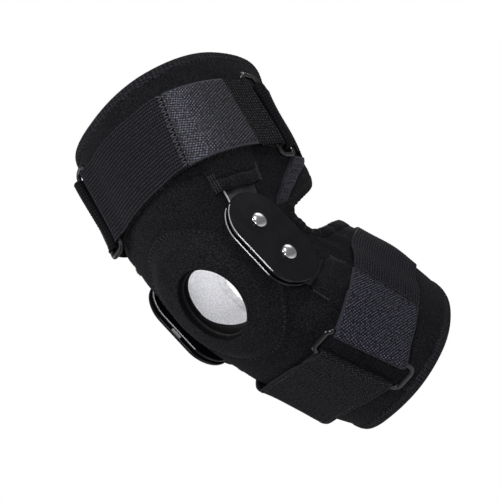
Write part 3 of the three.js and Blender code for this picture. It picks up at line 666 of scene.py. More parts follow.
def makeWrapEdge():
    along = np.linspace(wrapRows[0][0], wrapRows[-1][0], wrapEdge["steps"])[:, None]
    v = np.linspace(-1, 1, 19)[None, :]
    angle = throughRows(wrapRows, 1, along) + wrapEdge["halfSpread"] * v
    body = np.sqrt(np.clip(1 - v**4, 0, 1)) * smoothStep(along, wrapRows[0][0] - 1, wrapRows[0][0] + 5)
    waves = np.abs(np.sin(along * np.pi / wrapEdge["crimpMm"] + 0.6 * v)) - 0.6
    crimp = wrapEdge["crimp"] * waves * (1 - v**2)
    seat = layers["neoprene"] + 0.1 + slackAt(along, angle)
    uv = np.stack(np.broadcast_arrays(along, v * 4), -1)
    top = seat + 0.1 + (wrapEdge["height"] + crimp) * body
    outer, inner = (legPoint(along, angle, out) for out in (top, seat))
    return makeSlab("wrap_edge_bound", outer, inner, "hemBand", uv)


# pockets: a second layer of neoprene over each arm, open at the knee with a rolled welt

pocket = dict(start=42, stop=82, spare=1.6, wall=1.1, lift=2.8, slope=0.2, weltMm=7.5, rows=96, columns=60,
              bow=1.4, dip=0.5, sewn=0.55, slack=0.35, seat=0.15)
pocketRuns = {
    "upper": dict(mouth=37, end=113, start=46, welt=3.0, flat=(0.06, 0.08)),
    "lower": dict(mouth=-34, end=-112, start=49, welt=0.9, flat=(0.05, 0.08)),
}


# along, angle, underside and top at u from the mouth to the end and v from the front edge to the back one
def pocketShape(side, level, u, v):
    sign = 1 if side == "lateral" else -1
    run = pocketRuns[level]
    start, stop = run["start"] - pocket["spare"], pocket["stop"] + pocket["spare"]
    angle = sign * (start + (stop - start) * v) + 0 * u
    fromSide = np.minimum(v, 1 - v)
    beside = smoothStep(fromSide, 0, pocket["slope"])
    raised = beside * smoothStep(1 - u, 0, 0.14)
    bow = pocket["bow"] * np.sin(np.pi * v) - pocket["dip"] * np.sin(5 * np.pi * v)
    length = run["end"] - run["mouth"]
    along = run["mouth"] + length * u - math.copysign(1, run["end"]) * bow * (1 - u) ** 4
    back = abs(length) * u / pocket["weltMm"]  # 0 at the mouth, 1 where the welt is sewn
    roll = np.sqrt(np.clip(1 - (2 * np.clip(back, 0, 1) - 1) ** 2, 0, 1)) * smoothStep(fromSide, 0, 0.07)
    sewn = pocket["sewn"] * bell(back, 1.06, 0.1)
    slack = pocket["slack"] * np.sin(along * 0.5 + 5 * v) * np.sin(np.pi * v) * smoothStep(back, 1, 2)
    under = layers["neoprene"] + pocket["seat"] + pocket["lift"] * raised
    under = under + slackAt(along, angle) * (1 - raised)
    thick = 0.12 + pocket["wall"] * np.maximum(smoothStep(fromSide, 0, 0.05) * (back >= 1), 0.9 * roll)
    top = under + thick + run["welt"] * roll * (0.4 + 0.6 * beside) + (slack - sewn) * beside
    return along, angle, under, np.maximum(top, under + 0.1)


def makePocket(side, level):
    u = np.linspace(0, 1, pocket["rows"])[:, None] ** 1.35
    v = np.linspace(0, 1, pocket["columns"])[None, :]
    along, angle, under, top = pocketShape(side, level, u, v)
    run = pocketRuns[level]
    onWelt = u[:-1, 0] * abs(run["end"] - run["mouth"]) < pocket["weltMm"]
    return makeSlab(f"{side}_{level}_pocket_cloth", legPoint(along, angle, top),
                    legPoint(along, angle, under), ["sleeve", "welt"], rowFinish=onWelt)


def clothArea(piece):  # of one face of the cloth, in square metres
    return sum(f.area for f in piece.data.polygons) / 2


sleevePiece = placed(makeSleeve(), "neoprene", "sleeve_body")
hems = [
    placed(makeRimHem("top_binding_folded", topRimRows, 1), "binding_tape", "top_binding"),
    placed(makeRimHem("bottom_binding_folded", bottomRimRows, -1), "binding_tape", "bottom_binding"),
    placed(makeOverlock(), "binding_tape", "popliteal_binding"),
    placed(makeWrapEdge(), "binding_tape", "wrap_edge"),
]
placed(makePad(), "pad_cloth", "patella_pad")
for side in ("lateral", "medial"):
    for level, run in pocketRuns.items():
        made = placed(makePocket(side, level), "neoprene", f"{side}_{level}_pocket")
print("soft pieces made, sleeve", round(clothArea(sleevePiece), 4), "square metres")


# straps: webbing along paths of (angle, height, layer) round the leg

# sewn and ease are mm doubled back at a loop and mm that the webbing takes to step up or down a layer
strap = dict(width=57, stepMm=1.5, edge=0.8, sewn=18, ease=12, columns=38, ribColumns=5, ribRound=1.1)
loop = dict(bar=2, overhang=5, corner=4.5, off=layers["neoprene"] + 4.6)
loopPlaces = {  # angle of the middle, and half the depth between bars
    "upper_loop_lateral": (103, 9.2), "upper_loop_medial": (-27.6, 7.4), "lower_loop": (30.5, 9.9),
}
wrapRadius = loop["bar"] + 0.6 + layers["webbing"] / 2
thighRadius, calfRadius = 82, 70
resting = onSleeve + layers["webbing"] / 2
onTop = resting + layers["webbing"] + layers["gap"]
# angle, along, degrees that cross threads lean for each mm from the strap's middle, half width
upperCourse = [
    (-180, 84, 0, 28.5), (-90, 86, 0.08, 28.5), (-28, 85, 0.1, 28.5), (10, 86, 0.05, 28.5),
    (41, 86, 0.085, 28), (60, 85.7, -0.04, 27.2), (80, 84.8, -0.15, 26.3), (103, 82, -0.25, 25.8),
    (140, 83, -0.1, 27), (180, 84, 0, 28.5), (270, 86, 0.08, 28.5), (332, 85, 0.1, 28.5),
    (370, 86, 0.05, 28.5),
]
lowerCourse = [
    (-80, -80, 0, 28.5), (-10, -81.5, 0, 28.5), (12, -85.5, -0.04, 28.5), (30, -88, -0.09, 28.5),
    (58, -81.5, 0, 28.5), (79, -78.5, 0.01, 28.5), (108, -74, 0, 28.5), (140, -81, 0, 28.5),
    (180, -84.5, 0, 28.5), (284, -80, 0, 28.5),
]
# degrees where the tabs and the shin webbing start or end
turns = dict(upperTab=42.5, upperTabEnd=81, lowerTab=78, lowerTabEnd=60, lowerJoin=-78)


def overPocket(angle):
    turned = fromFront(angle)
    rise = pocket["lift"] + pocket["wall"] + layers["gap"] + 0.3
    rising = smoothStep(turned, pocket["start"] - 18, pocket["start"] - 4)
    falling = smoothStep(-turned, -pocket["stop"] - 24, -pocket["stop"] - 4)
    return rise * rising * falling


def runPath(start, stop, height, layer=0):
    angle = np.linspace(start, stop, max(1, round(abs(stop - start) / 5)) + 1)
    return np.stack([angle, height + overPocket(angle), np.full(angle.shape, layer)], -1)


# a turn round a bar, heading 1 where the webbing leaves it towards larger angles on top
def turnPath(bar, heading, radius, layer=0):
    t = np.linspace(-np.pi / 2, np.pi / 2, 13)
    angle = bar - heading * np.degrees(wrapRadius * np.cos(t) / radius)
    out = loop["off"] + overPocket(bar) + wrapRadius * np.sin(t)
    return np.stack([angle, out, layer + (t > 0) * 1.0], -1)


# corners eased by cutting them twice, then even steps along the path
def easedPath(path, radius):
    p = np.array(path)
    p[:, 0] = np.radians(p[:, 0]) * radius
    p = cutCorners(p)
    run = runAlong(p[:, :2])
    even = np.linspace(0, run[-1], max(4, round(run[-1] / strap["stepMm"])))
    return np.stack([np.interp(even, run, p[:, k]) for k in range(3)], -1), even


def makeStrap(name, path, thickness, course, radius, finish, ribs=None):
    p, length = easedPath(path, radius)
    half = strap["width"] / 2
    count = round(strap["width"] / ribs["pitch"]) if ribs else 0
    across = np.linspace(-half, half, count * strap["ribColumns"] + 1 if ribs else strap["columns"])
    rounding = 0.25 + 0.75 * quarterRound((half - np.abs(across)) / strap["edge"])
    rib, ribbed = np.ones(across.size), 0
    if ribs:
        rib = np.abs(np.sin(np.pi * count * np.linspace(0, 1, across.size))) ** strap["ribRound"]
        ribbed = np.isin(np.round(p[:, 2]), ribs["layers"])[:, None] * ribs["depth"]
    thick = (thickness / 2 - (1 - rib)[None, :] * ribbed) * rounding[None, :] + 0 * p[:, :1]
    run = unit(np.gradient(p[:, :2], axis=0))
    normal = np.stack([-run[:, 1], run[:, 0]], -1)
    if p[-1, 0] < p[0, 0]:
        normal = -normal
    turned = np.degrees(p[:, 0] / radius)
    drawn = across[None, :] * (throughRows(course, 3, turned) / half)[:, None]
    place = throughRows(course, 1, turned)[:, None] + drawn
    lean = throughRows(course, 2, turned)[:, None] * drawn
    faces = []
    for side in (1, -1):
        x = p[:, 0, None] + side * normal[:, 0, None] * thick
        out = p[:, 1, None] + side * normal[:, 1, None] * thick
        faces.append(legPoint(place, np.degrees(x / radius) + lean, out))
    uv = np.stack(np.broadcast_arrays(length[:, None], across[None, :]), -1)
    marks = {"rib": np.tile(np.broadcast_to(rib, uv.shape[:2]).ravel(), 2)}
    onTopLayer = np.round((p[:-1, 2] + p[1:, 2]) / 2) > 1
    made = makeSlab(name, faces[0], faces[1], finish, uv, marks=marks,
                    rowFinish=None if isinstance(finish, str) else onTopLayer)
    return made, length[-1]


def degreesOf(length, radius):
    return math.degrees(length / radius)


# angles of a loop's two bars, the lower first
def barsOf(node, radius):
    middle, halfDepth = loopPlaces[node]
    return middle - degreesOf(halfDepth, radius), middle + degreesOf(halfDepth, radius)


thighTuck, calfTuck = degreesOf(strap["sewn"], thighRadius), degreesOf(strap["sewn"], calfRadius)
thighEase, calfEase = degreesOf(strap["ease"], thighRadius), degreesOf(strap["ease"], calfRadius)


# an end that turns round a bar and is sewn down under itself
def sewnEnd(bar, heading, radius, layer=0):
    tuck, ease = degreesOf(strap["sewn"], radius), degreesOf(strap["ease"], radius)
    return [
        runPath(bar + heading * tuck, bar + heading * 2, resting),
        turnPath(bar, heading, radius),
        runPath(bar + heading * ease, bar + heading * (tuck + 2), onTop, layer),
    ]


def upperStrapPath():
    lateralBar = barsOf("upper_loop_lateral", thighRadius)[0]
    medialBar = barsOf("upper_loop_medial", thighRadius)[1]
    return np.concatenate([
        *sewnEnd(lateralBar, -1, thighRadius, 1),
        runPath(lateralBar - thighTuck - thighEase, medialBar + 2, resting, 1),
        turnPath(medialBar, 1, thighRadius, 1),
        runPath(medialBar + thighEase, turns["upperTab"], onTop, 2),
    ])


def upperAnchorPath():
    start = barsOf("upper_loop_lateral", thighRadius)[1]
    stop = 360 + barsOf("upper_loop_medial", thighRadius)[0]
    return np.concatenate([
        *sewnEnd(start, 1, thighRadius),
        runPath(start + thighTuck + thighEase, stop - thighTuck - thighEase, resting),
        np.concatenate(sewnEnd(stop, -1, thighRadius))[::-1],
    ])


def lowerTabPath():
    bar = barsOf("lower_loop", calfRadius)[1]
    return np.concatenate([
        runPath(turns["lowerTabEnd"], bar + 2, resting),
        turnPath(bar, 1, calfRadius),
        runPath(bar + calfEase, turns["lowerTabEnd"] + 3, onTop + 0.1),
        runPath(turns["lowerTabEnd"] + 3 + calfEase * 0.6, turns["lowerTab"] - 0.4, resting),
    ])


def lowerAnchorPath():
    bar = barsOf("lower_loop", calfRadius)[0]
    return np.concatenate([
        *sewnEnd(bar, -1, calfRadius),
        runPath(bar - calfTuck - calfEase, turns["lowerJoin"] + 0.4, resting),
    ])


tabPath = runPath(turns["upperTab"] + 0.35, turns["upperTabEnd"], onTop + 0.1)
lowerStrapPath = runPath(360 + turns["lowerJoin"], turns["lowerTab"], resting + 0.2)
# ribs stand on some layers of a strap alone
thighRibs = dict(pitch=2.35, depth=0.55, layers=(2,))
anchorRibs = dict(pitch=2.45, depth=0.4, layers=(0, 1))
calfRibs = dict(pitch=2.1, depth=0.25, layers=(0,))
thigh, calf = (upperCourse, thighRadius), (lowerCourse, calfRadius)
strapPlans = [  # node, cloth, slot, path, thickness, course and radius, finish, ribs
    ("upper_strap", "webbing", "webbing", upperStrapPath(), layers["webbing"], thigh, ["knit", "ribbed"],
     thighRibs),
    ("upper_tab", "twill", "hook_tab", tabPath, layers["tab"], thigh, "twill", None),
    ("upper_anchor", "webbing", "webbing", upperAnchorPath(), layers["webbing"], thigh, "darkRibbed",
     anchorRibs),
    ("lower_strap", "webbing", "webbing", lowerStrapPath, layers["webbing"], calf, "ribbed", calfRibs),
    ("lower_tab", "twill", "hook_tab", lowerTabPath(), layers["webbing"], calf, "darkTwill", None),
    ("lower_anchor", "webbing", "webbing", lowerAnchorPath(), layers["webbing"], calf, "plainWeave", None),
]
for node, cloth, slotName, path, thickness, place, finish, ribs in strapPlans:
    piece = f"{node}_{cloth}"
    made, length = makeStrap(piece, path, thickness, *place, finish, ribs)
    placed(made, slotName, node)
    print(piece, "flat", strap["width"], "x", round(float(length)), "mm")


# loops: flat moulded frames, their bars a rounded oblong in section

loopSection = dict(halfWide=1.9, endWide=2.1, halfThick=1.8, round=0.85, sides=20, arcs=8, fill=10)


def makeLoop(name, node, course, radius):
    middle, halfDepth = loopPlaces[node]
    centre, lean, half = (float(throughRows(course, column, middle)) for column in (1, 2, 3))
    reach = half + loop["overhang"] - loop["corner"]
    depth = halfDepth - loop["corner"]
    path = []
    for k, (a, b) in enumerate([(1, 1), (-1, 1), (-1, -1), (1, -1)]):
        t = (k + np.linspace(0, 1, loopSection["arcs"])) * np.pi / 2
        rounding = loop["corner"] * np.stack([np.cos(t), np.sin(t)], -1)
        path.append(np.array([a * reach, b * depth]) + rounding)
    path = np.concatenate(path)

    def at(out):
        angle = middle + np.degrees(path[:, 1] / radius) + lean * path[:, 0]
        return legPoint(centre + path[:, 0], angle, loop["off"] + overPocket(angle) + out)

    here = at(0)
    up = at(1) - here
    gaps = np.linalg.norm(np.roll(here, -1, 0) - here, axis=1)
    ends = smoothStep(np.abs(path[:, 0]), reach, reach + loop["corner"] * 0.8)
    filled, ups, wide = [], [], []
    for i, g in enumerate(gaps):
        n = (i + 1) % len(here)
        for t in np.linspace(0, 1, loopSection["fill"] if g > 4 else 1, endpoint=False):
            filled.append(here[i] * (1 - t) + here[n] * t)
            ups.append(up[i] * (1 - t) + up[n] * t)
            wide.append(ends[i] * (1 - t) + ends[n] * t)
    here, up = np.array(filled), np.array(ups)
    wide = loopSection["halfWide"] + (loopSection["endWide"] - loopSection["halfWide"]) * np.array(wide)
    run = unit(np.roll(here, -1, 0) - np.roll(here, 1, 0))
    up = unit(up - run * np.sum(up * run, axis=1, keepdims=True))
    side = np.cross(run, up)
    t = np.linspace(0, 2 * np.pi, loopSection["sides"], endpoint=False)
    c, s = (np.sign(f(t)) * np.abs(f(t)) ** loopSection["round"] for f in (np.cos, np.sin))
    rings = (here[:, None] + side[:, None] * (wide[:, None] * c[None, :])[..., None]
             + up[:, None] * (loopSection["halfThick"] * s)[None, :, None])
    return makeTube(name, rings, "scuffedLoop" if "medial" in node else "loop")


for node in loopPlaces:
    placed(makeLoop(node + "_moulded", node, *(thigh if node.startswith("upper") else calf)), "loop", node)
print("straps and loops made")


# hinges: two stadium plates a side on two domed rivets, with the arms and a stop between them

hinge = dict(out=58.6, turnDeg=5, length=80, width=50, plate=2.5, backPlate=2, slot=2.7, pivot=15.6,
             bore=3.5, rivet=3, head=6, dome=2.6, tail=4.6, rimPoints=128, boreSides=32, rivetSides=56)
medialSet = (1.6, 0, 1.2)  # the worn leg sets the medial hinge askew by these mm
plateEdge = [(2.4, 0), (0.6, 0), (0.1, 0.5), (0.0, 0.59)]  # inset, depth: a narrow chamfer
stopBlock = dict(length=9, depth=7, lateral=3, medial=0.4, thick=2.5, round=0.4)  # insets by side
arm = dict(hub=15.2, width=27, tipWidth=22, thickness=1.8, leanDeg=22, reach=24, chamfer=0.35, steps=16,
           curve=1 / 58)


def hingePlaces(points, side):
    turn = math.radians(hinge["turnDeg"])
    back = np.array([math.sin(turn), math.cos(turn), 0])
    out = np.array([math.cos(turn), -math.sin(turn), 0])
    p = np.asarray(points, float)
    world = p[..., 0, None] * back + p[..., 1, None] * np.array([0, 0, 1]) + p[..., 2, None] * out
    world = world + np.array([hinge["out"], 0, 0])
    return world if side == "lateral" else (world + np.array(medialSet)) * np.array([-1, 1, 1])


def stadium(inset):
    half = hinge["width"] / 2 - inset
    straight = hinge["length"] / 2 - hinge["width"] / 2
    t = np.linspace(0, np.pi, hinge["rimPoints"] // 2)
    top = np.stack([half * np.cos(t), straight + half * np.sin(t)], -1)
    return np.concatenate([top, -top])


def makePlate(name, side, thickness, level, litRow):
    count, sides = hinge["rimPoints"], hinge["boreSides"]
    depths = plateEdge + [(inset, thickness - depth) for inset, depth in reversed(plateEdge)]
    rings = [np.c_[stadium(inset), np.full(count, level - depth)] for inset, depth in depths]
    points = [np.concatenate(rings)]
    faces = gridFaces(len(rings), count, closeColumns=True)
    start = len(points[0])
    turn = np.linspace(0, 2 * np.pi, sides, endpoint=False)
    bores = []
    for up in (hinge["pivot"], -hinge["pivot"]):
        ring = np.stack([hinge["bore"] * np.cos(turn), up + hinge["bore"] * np.sin(turn)], -1)
        points += [np.c_[ring, np.full(sides, at)] for at in (level, level - thickness)]
        faces += gridFaces(2, sides, closeColumns=True, start=start)
        bores.append(start)
        start += 2 * sides
    work = bmesh.new()
    verts = [work.verts.new(p) for p in hingePlaces(np.concatenate(points), side) * mm]
    along = np.gradient(stadium(0), axis=0)
    ahead = (-along[:, 1] > 0.4 * np.hypot(*along.T)) & (stadium(0)[:, 1] > -18)
    for n, f in enumerate(faces):
        # painted highlight: the front chamfer, where it faces forward, takes the pale finish
        highlit = n // count == litRow and ahead[n % count]  # a chamfer along the front
        work.faces.new([verts[k] for k in f]).material_index = int(highlit)
    last = (len(rings) - 1) * count
    for rim, shift in ((0, 0), (last, sides)):  # both broad faces, filled round the bores
        loops = [verts[rim:rim + count]] + [verts[b + shift:b + shift + sides] for b in bores]
        edges = [work.edges.get((r[k - 1], r[k])) for r in loops for k in range(len(r))]
        bmesh.ops.triangle_fill(work, use_beauty=True, edges=edges)
    return finishPiece(bpy.data.meshes.new(name), work, ["plate", "plateRimHighlight"], 25)


def makeRivet(name, side, up):
    total = hinge["plate"] + hinge["slot"] + hinge["backPlate"]
    t = np.linspace(0, np.pi / 2, 14)[:-1]
    dome = [(hinge["head"] * math.cos(a) ** 0.9, 0.75 + (hinge["dome"] - 0.5) * math.sin(a)) for a in t]
    tail, shank, head = hinge["tail"], hinge["rivet"], hinge["head"]
    profile = np.array([  # radius, height above the outer plate
        (0.4, -total - 1.1), (tail - 0.3, -total - 1.1), (tail, -total - 0.8), (tail, -total - 0.3),
        (shank, -total - 0.3), (shank, 0.25),
        (head - 0.35, 0.25), (head - 0.05, 0.4),  # underside of the head, clear of the plate
    ] + dome + [(0.4, 0.25 + hinge["dome"])])
    turn = np.linspace(0, 2 * np.pi, hinge["rivetSides"], endpoint=False)
    wide, high = profile[:, :1], profile[:, 1:]
    rings = np.stack(np.broadcast_arrays(wide * np.cos(turn), up + wide * np.sin(turn), high), -1)
    return makeTube(name, hingePlaces(rings, side), "rivet", closePath=False, sharpDeg=35)


def makeStop(name, side):
    low = -hinge["width"] / 2 + stopBlock[side]
    size = np.array([stopBlock["depth"], stopBlock["length"], stopBlock["thick"]])
    work = bmesh.new()
    bmesh.ops.create_cube(work, size=1)
    middle = np.array([low + stopBlock["depth"] / 2, 0, -hinge["plate"] - hinge["slot"] / 2])
    for v in work.verts:
        v.co = Vector(np.array(v.co) * size + middle)
    bmesh.ops.bevel(work, geom=work.edges[:], offset=stopBlock["round"], segments=3, affect="EDGES",
                    profile=0.5)
    for v in work.verts:
        v.co = Vector(hingePlaces(np.array(v.co), side) * mm)
    return finishPiece(bpy.data.meshes.new(name), work, "stop", 40)


# an arm: a round hub between the plates, then a strip that bends to the leg inside its pocket
def makeArm(name, side, level):
    sign = 1 if level == "upper" else -1
    run = pocketRuns[level]
    lean = math.radians(arm["leanDeg"])
    ahead = np.array([math.sin(lean), sign * math.cos(lean), 0])
    across = np.array([math.cos(lean), -sign * math.sin(lean), 0])
    pivot = np.array([0, sign * hinge["pivot"], -hinge["plate"] - hinge["slot"] / 2])
    mirror = np.array([1 if side == "lateral" else -1, 1, 1])
    origin = hingePlaces(np.zeros(3), side) * mirror
    hubTurn = np.linspace(0.12, np.pi / 2, 10)
    reach = np.concatenate([-arm["hub"] * np.cos(hubTurn), [6, 14, arm["reach"]]])
    half = np.where(reach < 0, np.sqrt(np.clip(arm["hub"] ** 2 - reach**2, 0, None)), arm["hub"])
    half[-2:] = (arm["hub"] + arm["width"] / 2) / 2, arm["width"] / 2
    at = hingePlaces(pivot + reach[:, None] * ahead, side) * mirror
    sides = np.tile(hingePlaces(across, side) * mirror - origin, (len(reach), 1))
    count = arm["steps"]
    along = np.linspace(run["mouth"] - sign, run["end"] - sign * 9, count)
    middle = (pocket["start"] + pocket["stop"]) / 2
    seat = onSleeve + 0.2 + arm["thickness"] / 2
    before, inPocket, after = (legPoint(along, mirror[0] * (middle + by), seat) * mirror
                               for by in (-0.5, 0, 0.5))
    taper = np.linspace(arm["width"], arm["tipWidth"], count) / 2
    stations = cutCorners(np.concatenate([
        np.c_[at, sides, half, np.zeros(len(half))],
        np.c_[inPocket, unit(after - before), taper, np.full(count, arm["curve"])]]))
    at, sides, half, curve = stations[:, :3], stations[:, 3:6], stations[:, 6], stations[:, 7]
    out = unit(np.cross(sides, np.gradient(at, axis=0)) * sign)
    t, edge = arm["thickness"] / 2, arm["chamfer"]
    top = np.linspace(-1, 1, 9)
    section = [(x, t, edge) for x in top] + [(1, t - edge, 0), (1, edge - t, 0)]
    section += [(x, -t, edge) for x in reversed(top)] + [(-1, edge - t, 0), (-1, t - edge, 0)]
    x, y, inset = np.array(section).T
    place = x[None, :] * (half[:, None] - inset[None, :])
    drop = curve[:, None] * place**2 / 2
    rings = at[:, None] + sides[:, None] * place[..., None] + out[:, None] * (y[None, :] - drop)[..., None]
    # painted highlight: on the upper arms the narrow edges take a pale finish
    paintedEdges = np.isin(np.arange(len(section)), (8, 9, 20, 21))  # its narrow edges
    tints = np.concatenate([np.tile(paintedEdges, len(at) - 1), [0, 0]])
    rings = rings * mirror
    edgeFinish = "armRimHighlight" if level == "upper" else "arm"
    return makeTube(name, rings, ["arm", edgeFinish], closePath=False, faceFinish=tints, sharpDeg=30)


for side in ("lateral", "medial"):
    backLevel = -hinge["plate"] - hinge["slot"]
    # rows of chamfer faces painted pale as a painted highlight: both outer chamfers, or the one beside the
    # leg
    outerLitRow, innerLitRow = (1, 1) if side == "lateral" else (None, 5)
    for node, thickness, level, litRow in ((f"{side}_outer_plate", hinge["plate"], 0, outerLitRow),
                                         (f"{side}_inner_plate", hinge["backPlate"], backLevel, innerLitRow)):
        placed(makePlate(node + "_moulded", side, thickness, level, litRow), "hinge_plate", node)
    placed(makeStop(f"{side}_hinge_stop_block", side), "stop", f"{side}_hinge_stop")
    for level, up in (("upper", hinge["pivot"]), ("lower", -hinge["pivot"])):
        placed(makeRivet(f"{side}_{level}_rivet_domed", side, up), "steel", f"{side}_{level}_rivet")
        placed(makeArm(f"{side}_{level}_arm_strip", side, level), "arm", f"{side}_{level}_arm")
print("hinges made")


# stitches: Geometry Nodes set a bead of thread on each point, turned and stretched along its stitch

stitch = dict(sides=8, rings=5, uneven=0.4, longest=1.1, seed=7, lift=0.12)
# mm between stitches, mm they reach
seams = dict(pocket=(1.2, 2.2), hem=(2.6, 1.3), wrap=(2.3, 1.8), shin=(2.3, 1.6), tabPale=(2.0, 4.8),
             tabDark=(2.0, 4.2), calfFirst=(1.7, 1.6), calfSecond=(1.7, 2.0))
shinSeam = 25.4  # mm from the middle of the webbing


def makeStitchTree():
    tree = bpy.data.node_groups.new("stitchRows", "GeometryNodeTree")
    for label, kind in (("Points", "Geometry"), ("Thread Width", "Float"), ("Thread Height", "Float"),
                        ("Uneven", "Float"), ("Seed", "Int"), ("Thread", "Material")):
        tree.interface.new_socket(label, in_out="INPUT", socket_type="NodeSocket" + kind)
    tree.interface.new_socket("Stitches", in_out="OUTPUT", socket_type="NodeSocketGeometry")
    given = addNode(tree, "NodeGroupInput").node.outputs
    along, up = (addNode(tree, "GeometryNodeInputNamedAttribute", {"Name": key}, data_type="FLOAT_VECTOR")
                 for key in ("along", "up"))
    facing = addNode(tree, "FunctionNodeAlignRotationToVector", {"Vector": along}, axis="X")
    seated = addNode(tree, "FunctionNodeAlignRotationToVector", {"Rotation": facing, "Vector": up},
                     axis="Z", pivot_axis="X")
    length = addNode(tree, "ShaderNodeVectorMath", {0: along}, "Value", operation="LENGTH")
    least = addNode(tree, "ShaderNodeMath", {0: 1.0, 1: given["Uneven"]}, operation="SUBTRACT")
    pull = addNode(tree, "FunctionNodeRandomValue", {
        2: least, 3: stitch["longest"], "Seed": given["Seed"]}, 1, data_type="FLOAT")
    drawn = addNode(tree, "ShaderNodeMath", {0: length, 1: pull}, operation="MULTIPLY")
    size = addNode(tree, "ShaderNodeCombineXYZ", {
        0: drawn, 1: given["Thread Width"], 2: given["Thread Height"]})
    bead = addNode(tree, "GeometryNodeMeshUVSphere", {
        "Segments": stitch["sides"], "Rings": stitch["rings"], "Radius": 0.5})
    rows = addNode(tree, "GeometryNodeInstanceOnPoints", {
        "Points": given["Points"], "Instance": bead, "Rotation": seated, "Scale": size})
    solid = addNode(tree, "GeometryNodeRealizeInstances", {0: rows})
    smooth = addNode(tree, "GeometryNodeSetShadeSmooth", {0: solid})
    last = addNode(tree, "GeometryNodeSetMaterial", {0: smooth, "Material": given["Thread"]})
    addNode(tree, "NodeGroupOutput", {0: last})
    return tree


stitchTree = makeStitchTree()
stitchInputs = {one.name: one.identifier for one in stitchTree.interface.items_tree
                if one.in_out == "INPUT"}


def sew(name, rows, wide, high, finish):
    centres, along, up = (np.concatenate(part) for part in zip(*rows))
    points = bpy.data.meshes.new(name + "_points")
    points.from_pydata((centres * mm).tolist(), [], [])
    for key, values in (("along", along * mm), ("up", up)):
        points.attributes.new(key, "FLOAT_VECTOR", "POINT").data.foreach_set("vector", values.ravel())
    made = bpy.data.objects.new(name, points)
    bpy.context.scene.collection.objects.link(made)
    sewn = made.modifiers.new("stitches", "NODES")
    sewn.node_group = stitchTree
    for label, value in {"Thread Width": wide * mm, "Thread Height": high * mm, "Uneven": stitch["uneven"],
                         "Seed": stitch["seed"], "Thread": finishes[finish]}.items():
        sewn[stitchInputs[label]] = value
    plain = bpy.data.meshes.new_from_object(made.evaluated_get(bpy.context.evaluated_depsgraph_get()))
    made.modifiers.remove(sewn)
    made.data = plain
    bpy.data.meshes.remove(points)
    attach(made, "root")
    print(name, len(centres), "stitches")


# stitches along a path on the leg, which swing from side to side of it or lie along it
def stitchRow(along, angle, out, pitch, size, swings=True):
    along, angle, out = (np.array(x, float) for x in np.broadcast_arrays(along, angle, out))
    p = legPoint(along, angle, out)
    run = runAlong(p)
    count = max(2, round(run[-1] / pitch))
    at = (np.arange(count) + 0.5) / count * run[-1]
    s, a, o = (np.interp(at, run, x) for x in (along, angle, out))
    near, far = (np.stack([np.interp(at + by, run, p[:, k]) for k in range(3)], -1) for by in (-0.4, 0.4))
    ahead = unit(far - near)
    up = outward(s, a, o)
    side = np.cross(up, ahead)
    swing = np.where(np.arange(count) % 2, 1, -1)[:, None]
    lie = ahead * pitch * 0.9 + side * size * swing if swings else ahead * size
    return legPoint(s, a, o + stitch["lift"]), lie, up


def strapRow(course, angle, shift, out, seam):
    half = float(throughRows(course, 3, angle)) - 0.9
    across = np.linspace(-half, half, 60)
    along = float(throughRows(course, 1, angle)) + across
    lean = float(throughRows(course, 2, angle)) * across
    return stitchRow(along, angle + shift + lean, out, *seams[seam])


def pocketRow(side, level, u, v):
    along, angle, _, top = pocketShape(side, level, *np.broadcast_arrays(u, v))
    return stitchRow(along, angle, top, *seams["pocket"])


# one stitch across from each near end to its far end
def ticksBetween(near, far, up):
    return (near + far) / 2, far - near, up


def padTicks():
    turn = np.linspace(0, 2 * np.pi, pad["whip"], endpoint=False)
    ends = []
    for u in (pad["sewnAt"], 0.995):
        along, angle = frontPlace(*padPlace(turn, u), onSleeve + 2)
        ends.append(legPoint(along, angle, onSleeve + padHeight(turn, u) + 0.1))
    return ticksBetween(*ends, outward(along, angle, onSleeve))


def openingTicks():
    s, a, _ = openingEdge(round(openingEdge(overlock["count"])[2][-1] / overlock["scallopMm"]))
    stepAlong, stepAngle = edgeSteps(s, a)
    ends = []
    for inward, height in ((2.2, 4.9), (6.6, 4.6)):
        along, angle = s + stepAlong * inward, a + stepAngle * inward
        ends.append(legPoint(along, angle, height + slackAt(along, angle)))
    return ticksBetween(*ends, outward(along, angle, 4))


def hemRow(rows, sign):
    angle = np.linspace(0, 360, 720)
    top = hemProfile[:8]  # its outer face, from the sewn edge to the fold
    height = np.interp(-hem["sewn"], -top[:, 0], top[:, 1])
    return stitchRow(rimAt(rows, angle) - sign * hem["sewn"], angle, height, *seams["hem"])


def wrapRow(v):
    along = np.linspace(wrapRows[0][0] + 2, wrapRows[-1][0], 60)
    angle = throughRows(wrapRows, 1, along) + wrapEdge["halfSpread"] * v
    seat = layers["neoprene"] + slackAt(along, angle) + wrapEdge["height"] * math.sqrt(1 - v**4)
    return stitchRow(along, angle, seat, *seams["wrap"])


tabTop = onTop + 0.1 + layers["tab"] / 2 + float(overPocket(turns["upperTab"]))
calfTop = resting + 0.2 + layers["webbing"] / 2 + float(overPocket(turns["lowerTab"]))
sew("tab_stitches_pale", [
    strapRow(upperCourse, turns["upperTab"], -1.0, tabTop, "tabPale"),
], 0.5, 0.45, "thread")
sew("tab_stitches_dark", [
    strapRow(lowerCourse, turns["lowerTab"], 0.5, calfTop, "calfFirst"),
    strapRow(upperCourse, turns["upperTab"], 1.5, tabTop + 0.1, "tabDark"),
    strapRow(lowerCourse, turns["lowerTab"], -1.2, calfTop, "calfSecond"),
], 0.8, 0.6, "darkThread")
mouths = []
for side in ("lateral", "medial"):
    for level, run in pocketRuns.items():
        welt = pocket["weltMm"] / abs(run["end"] - run["mouth"])
        for v in (0.05, 0.09, 0.13, 0.93, 0.97) if level == "upper" else (0.06, 0.95):
            mouths.append(pocketRow(side, level, np.linspace(0.02, 1.6, 30) * welt, v))
sew("pocket_stitches", mouths, 0.55, 0.5, "greyThread")
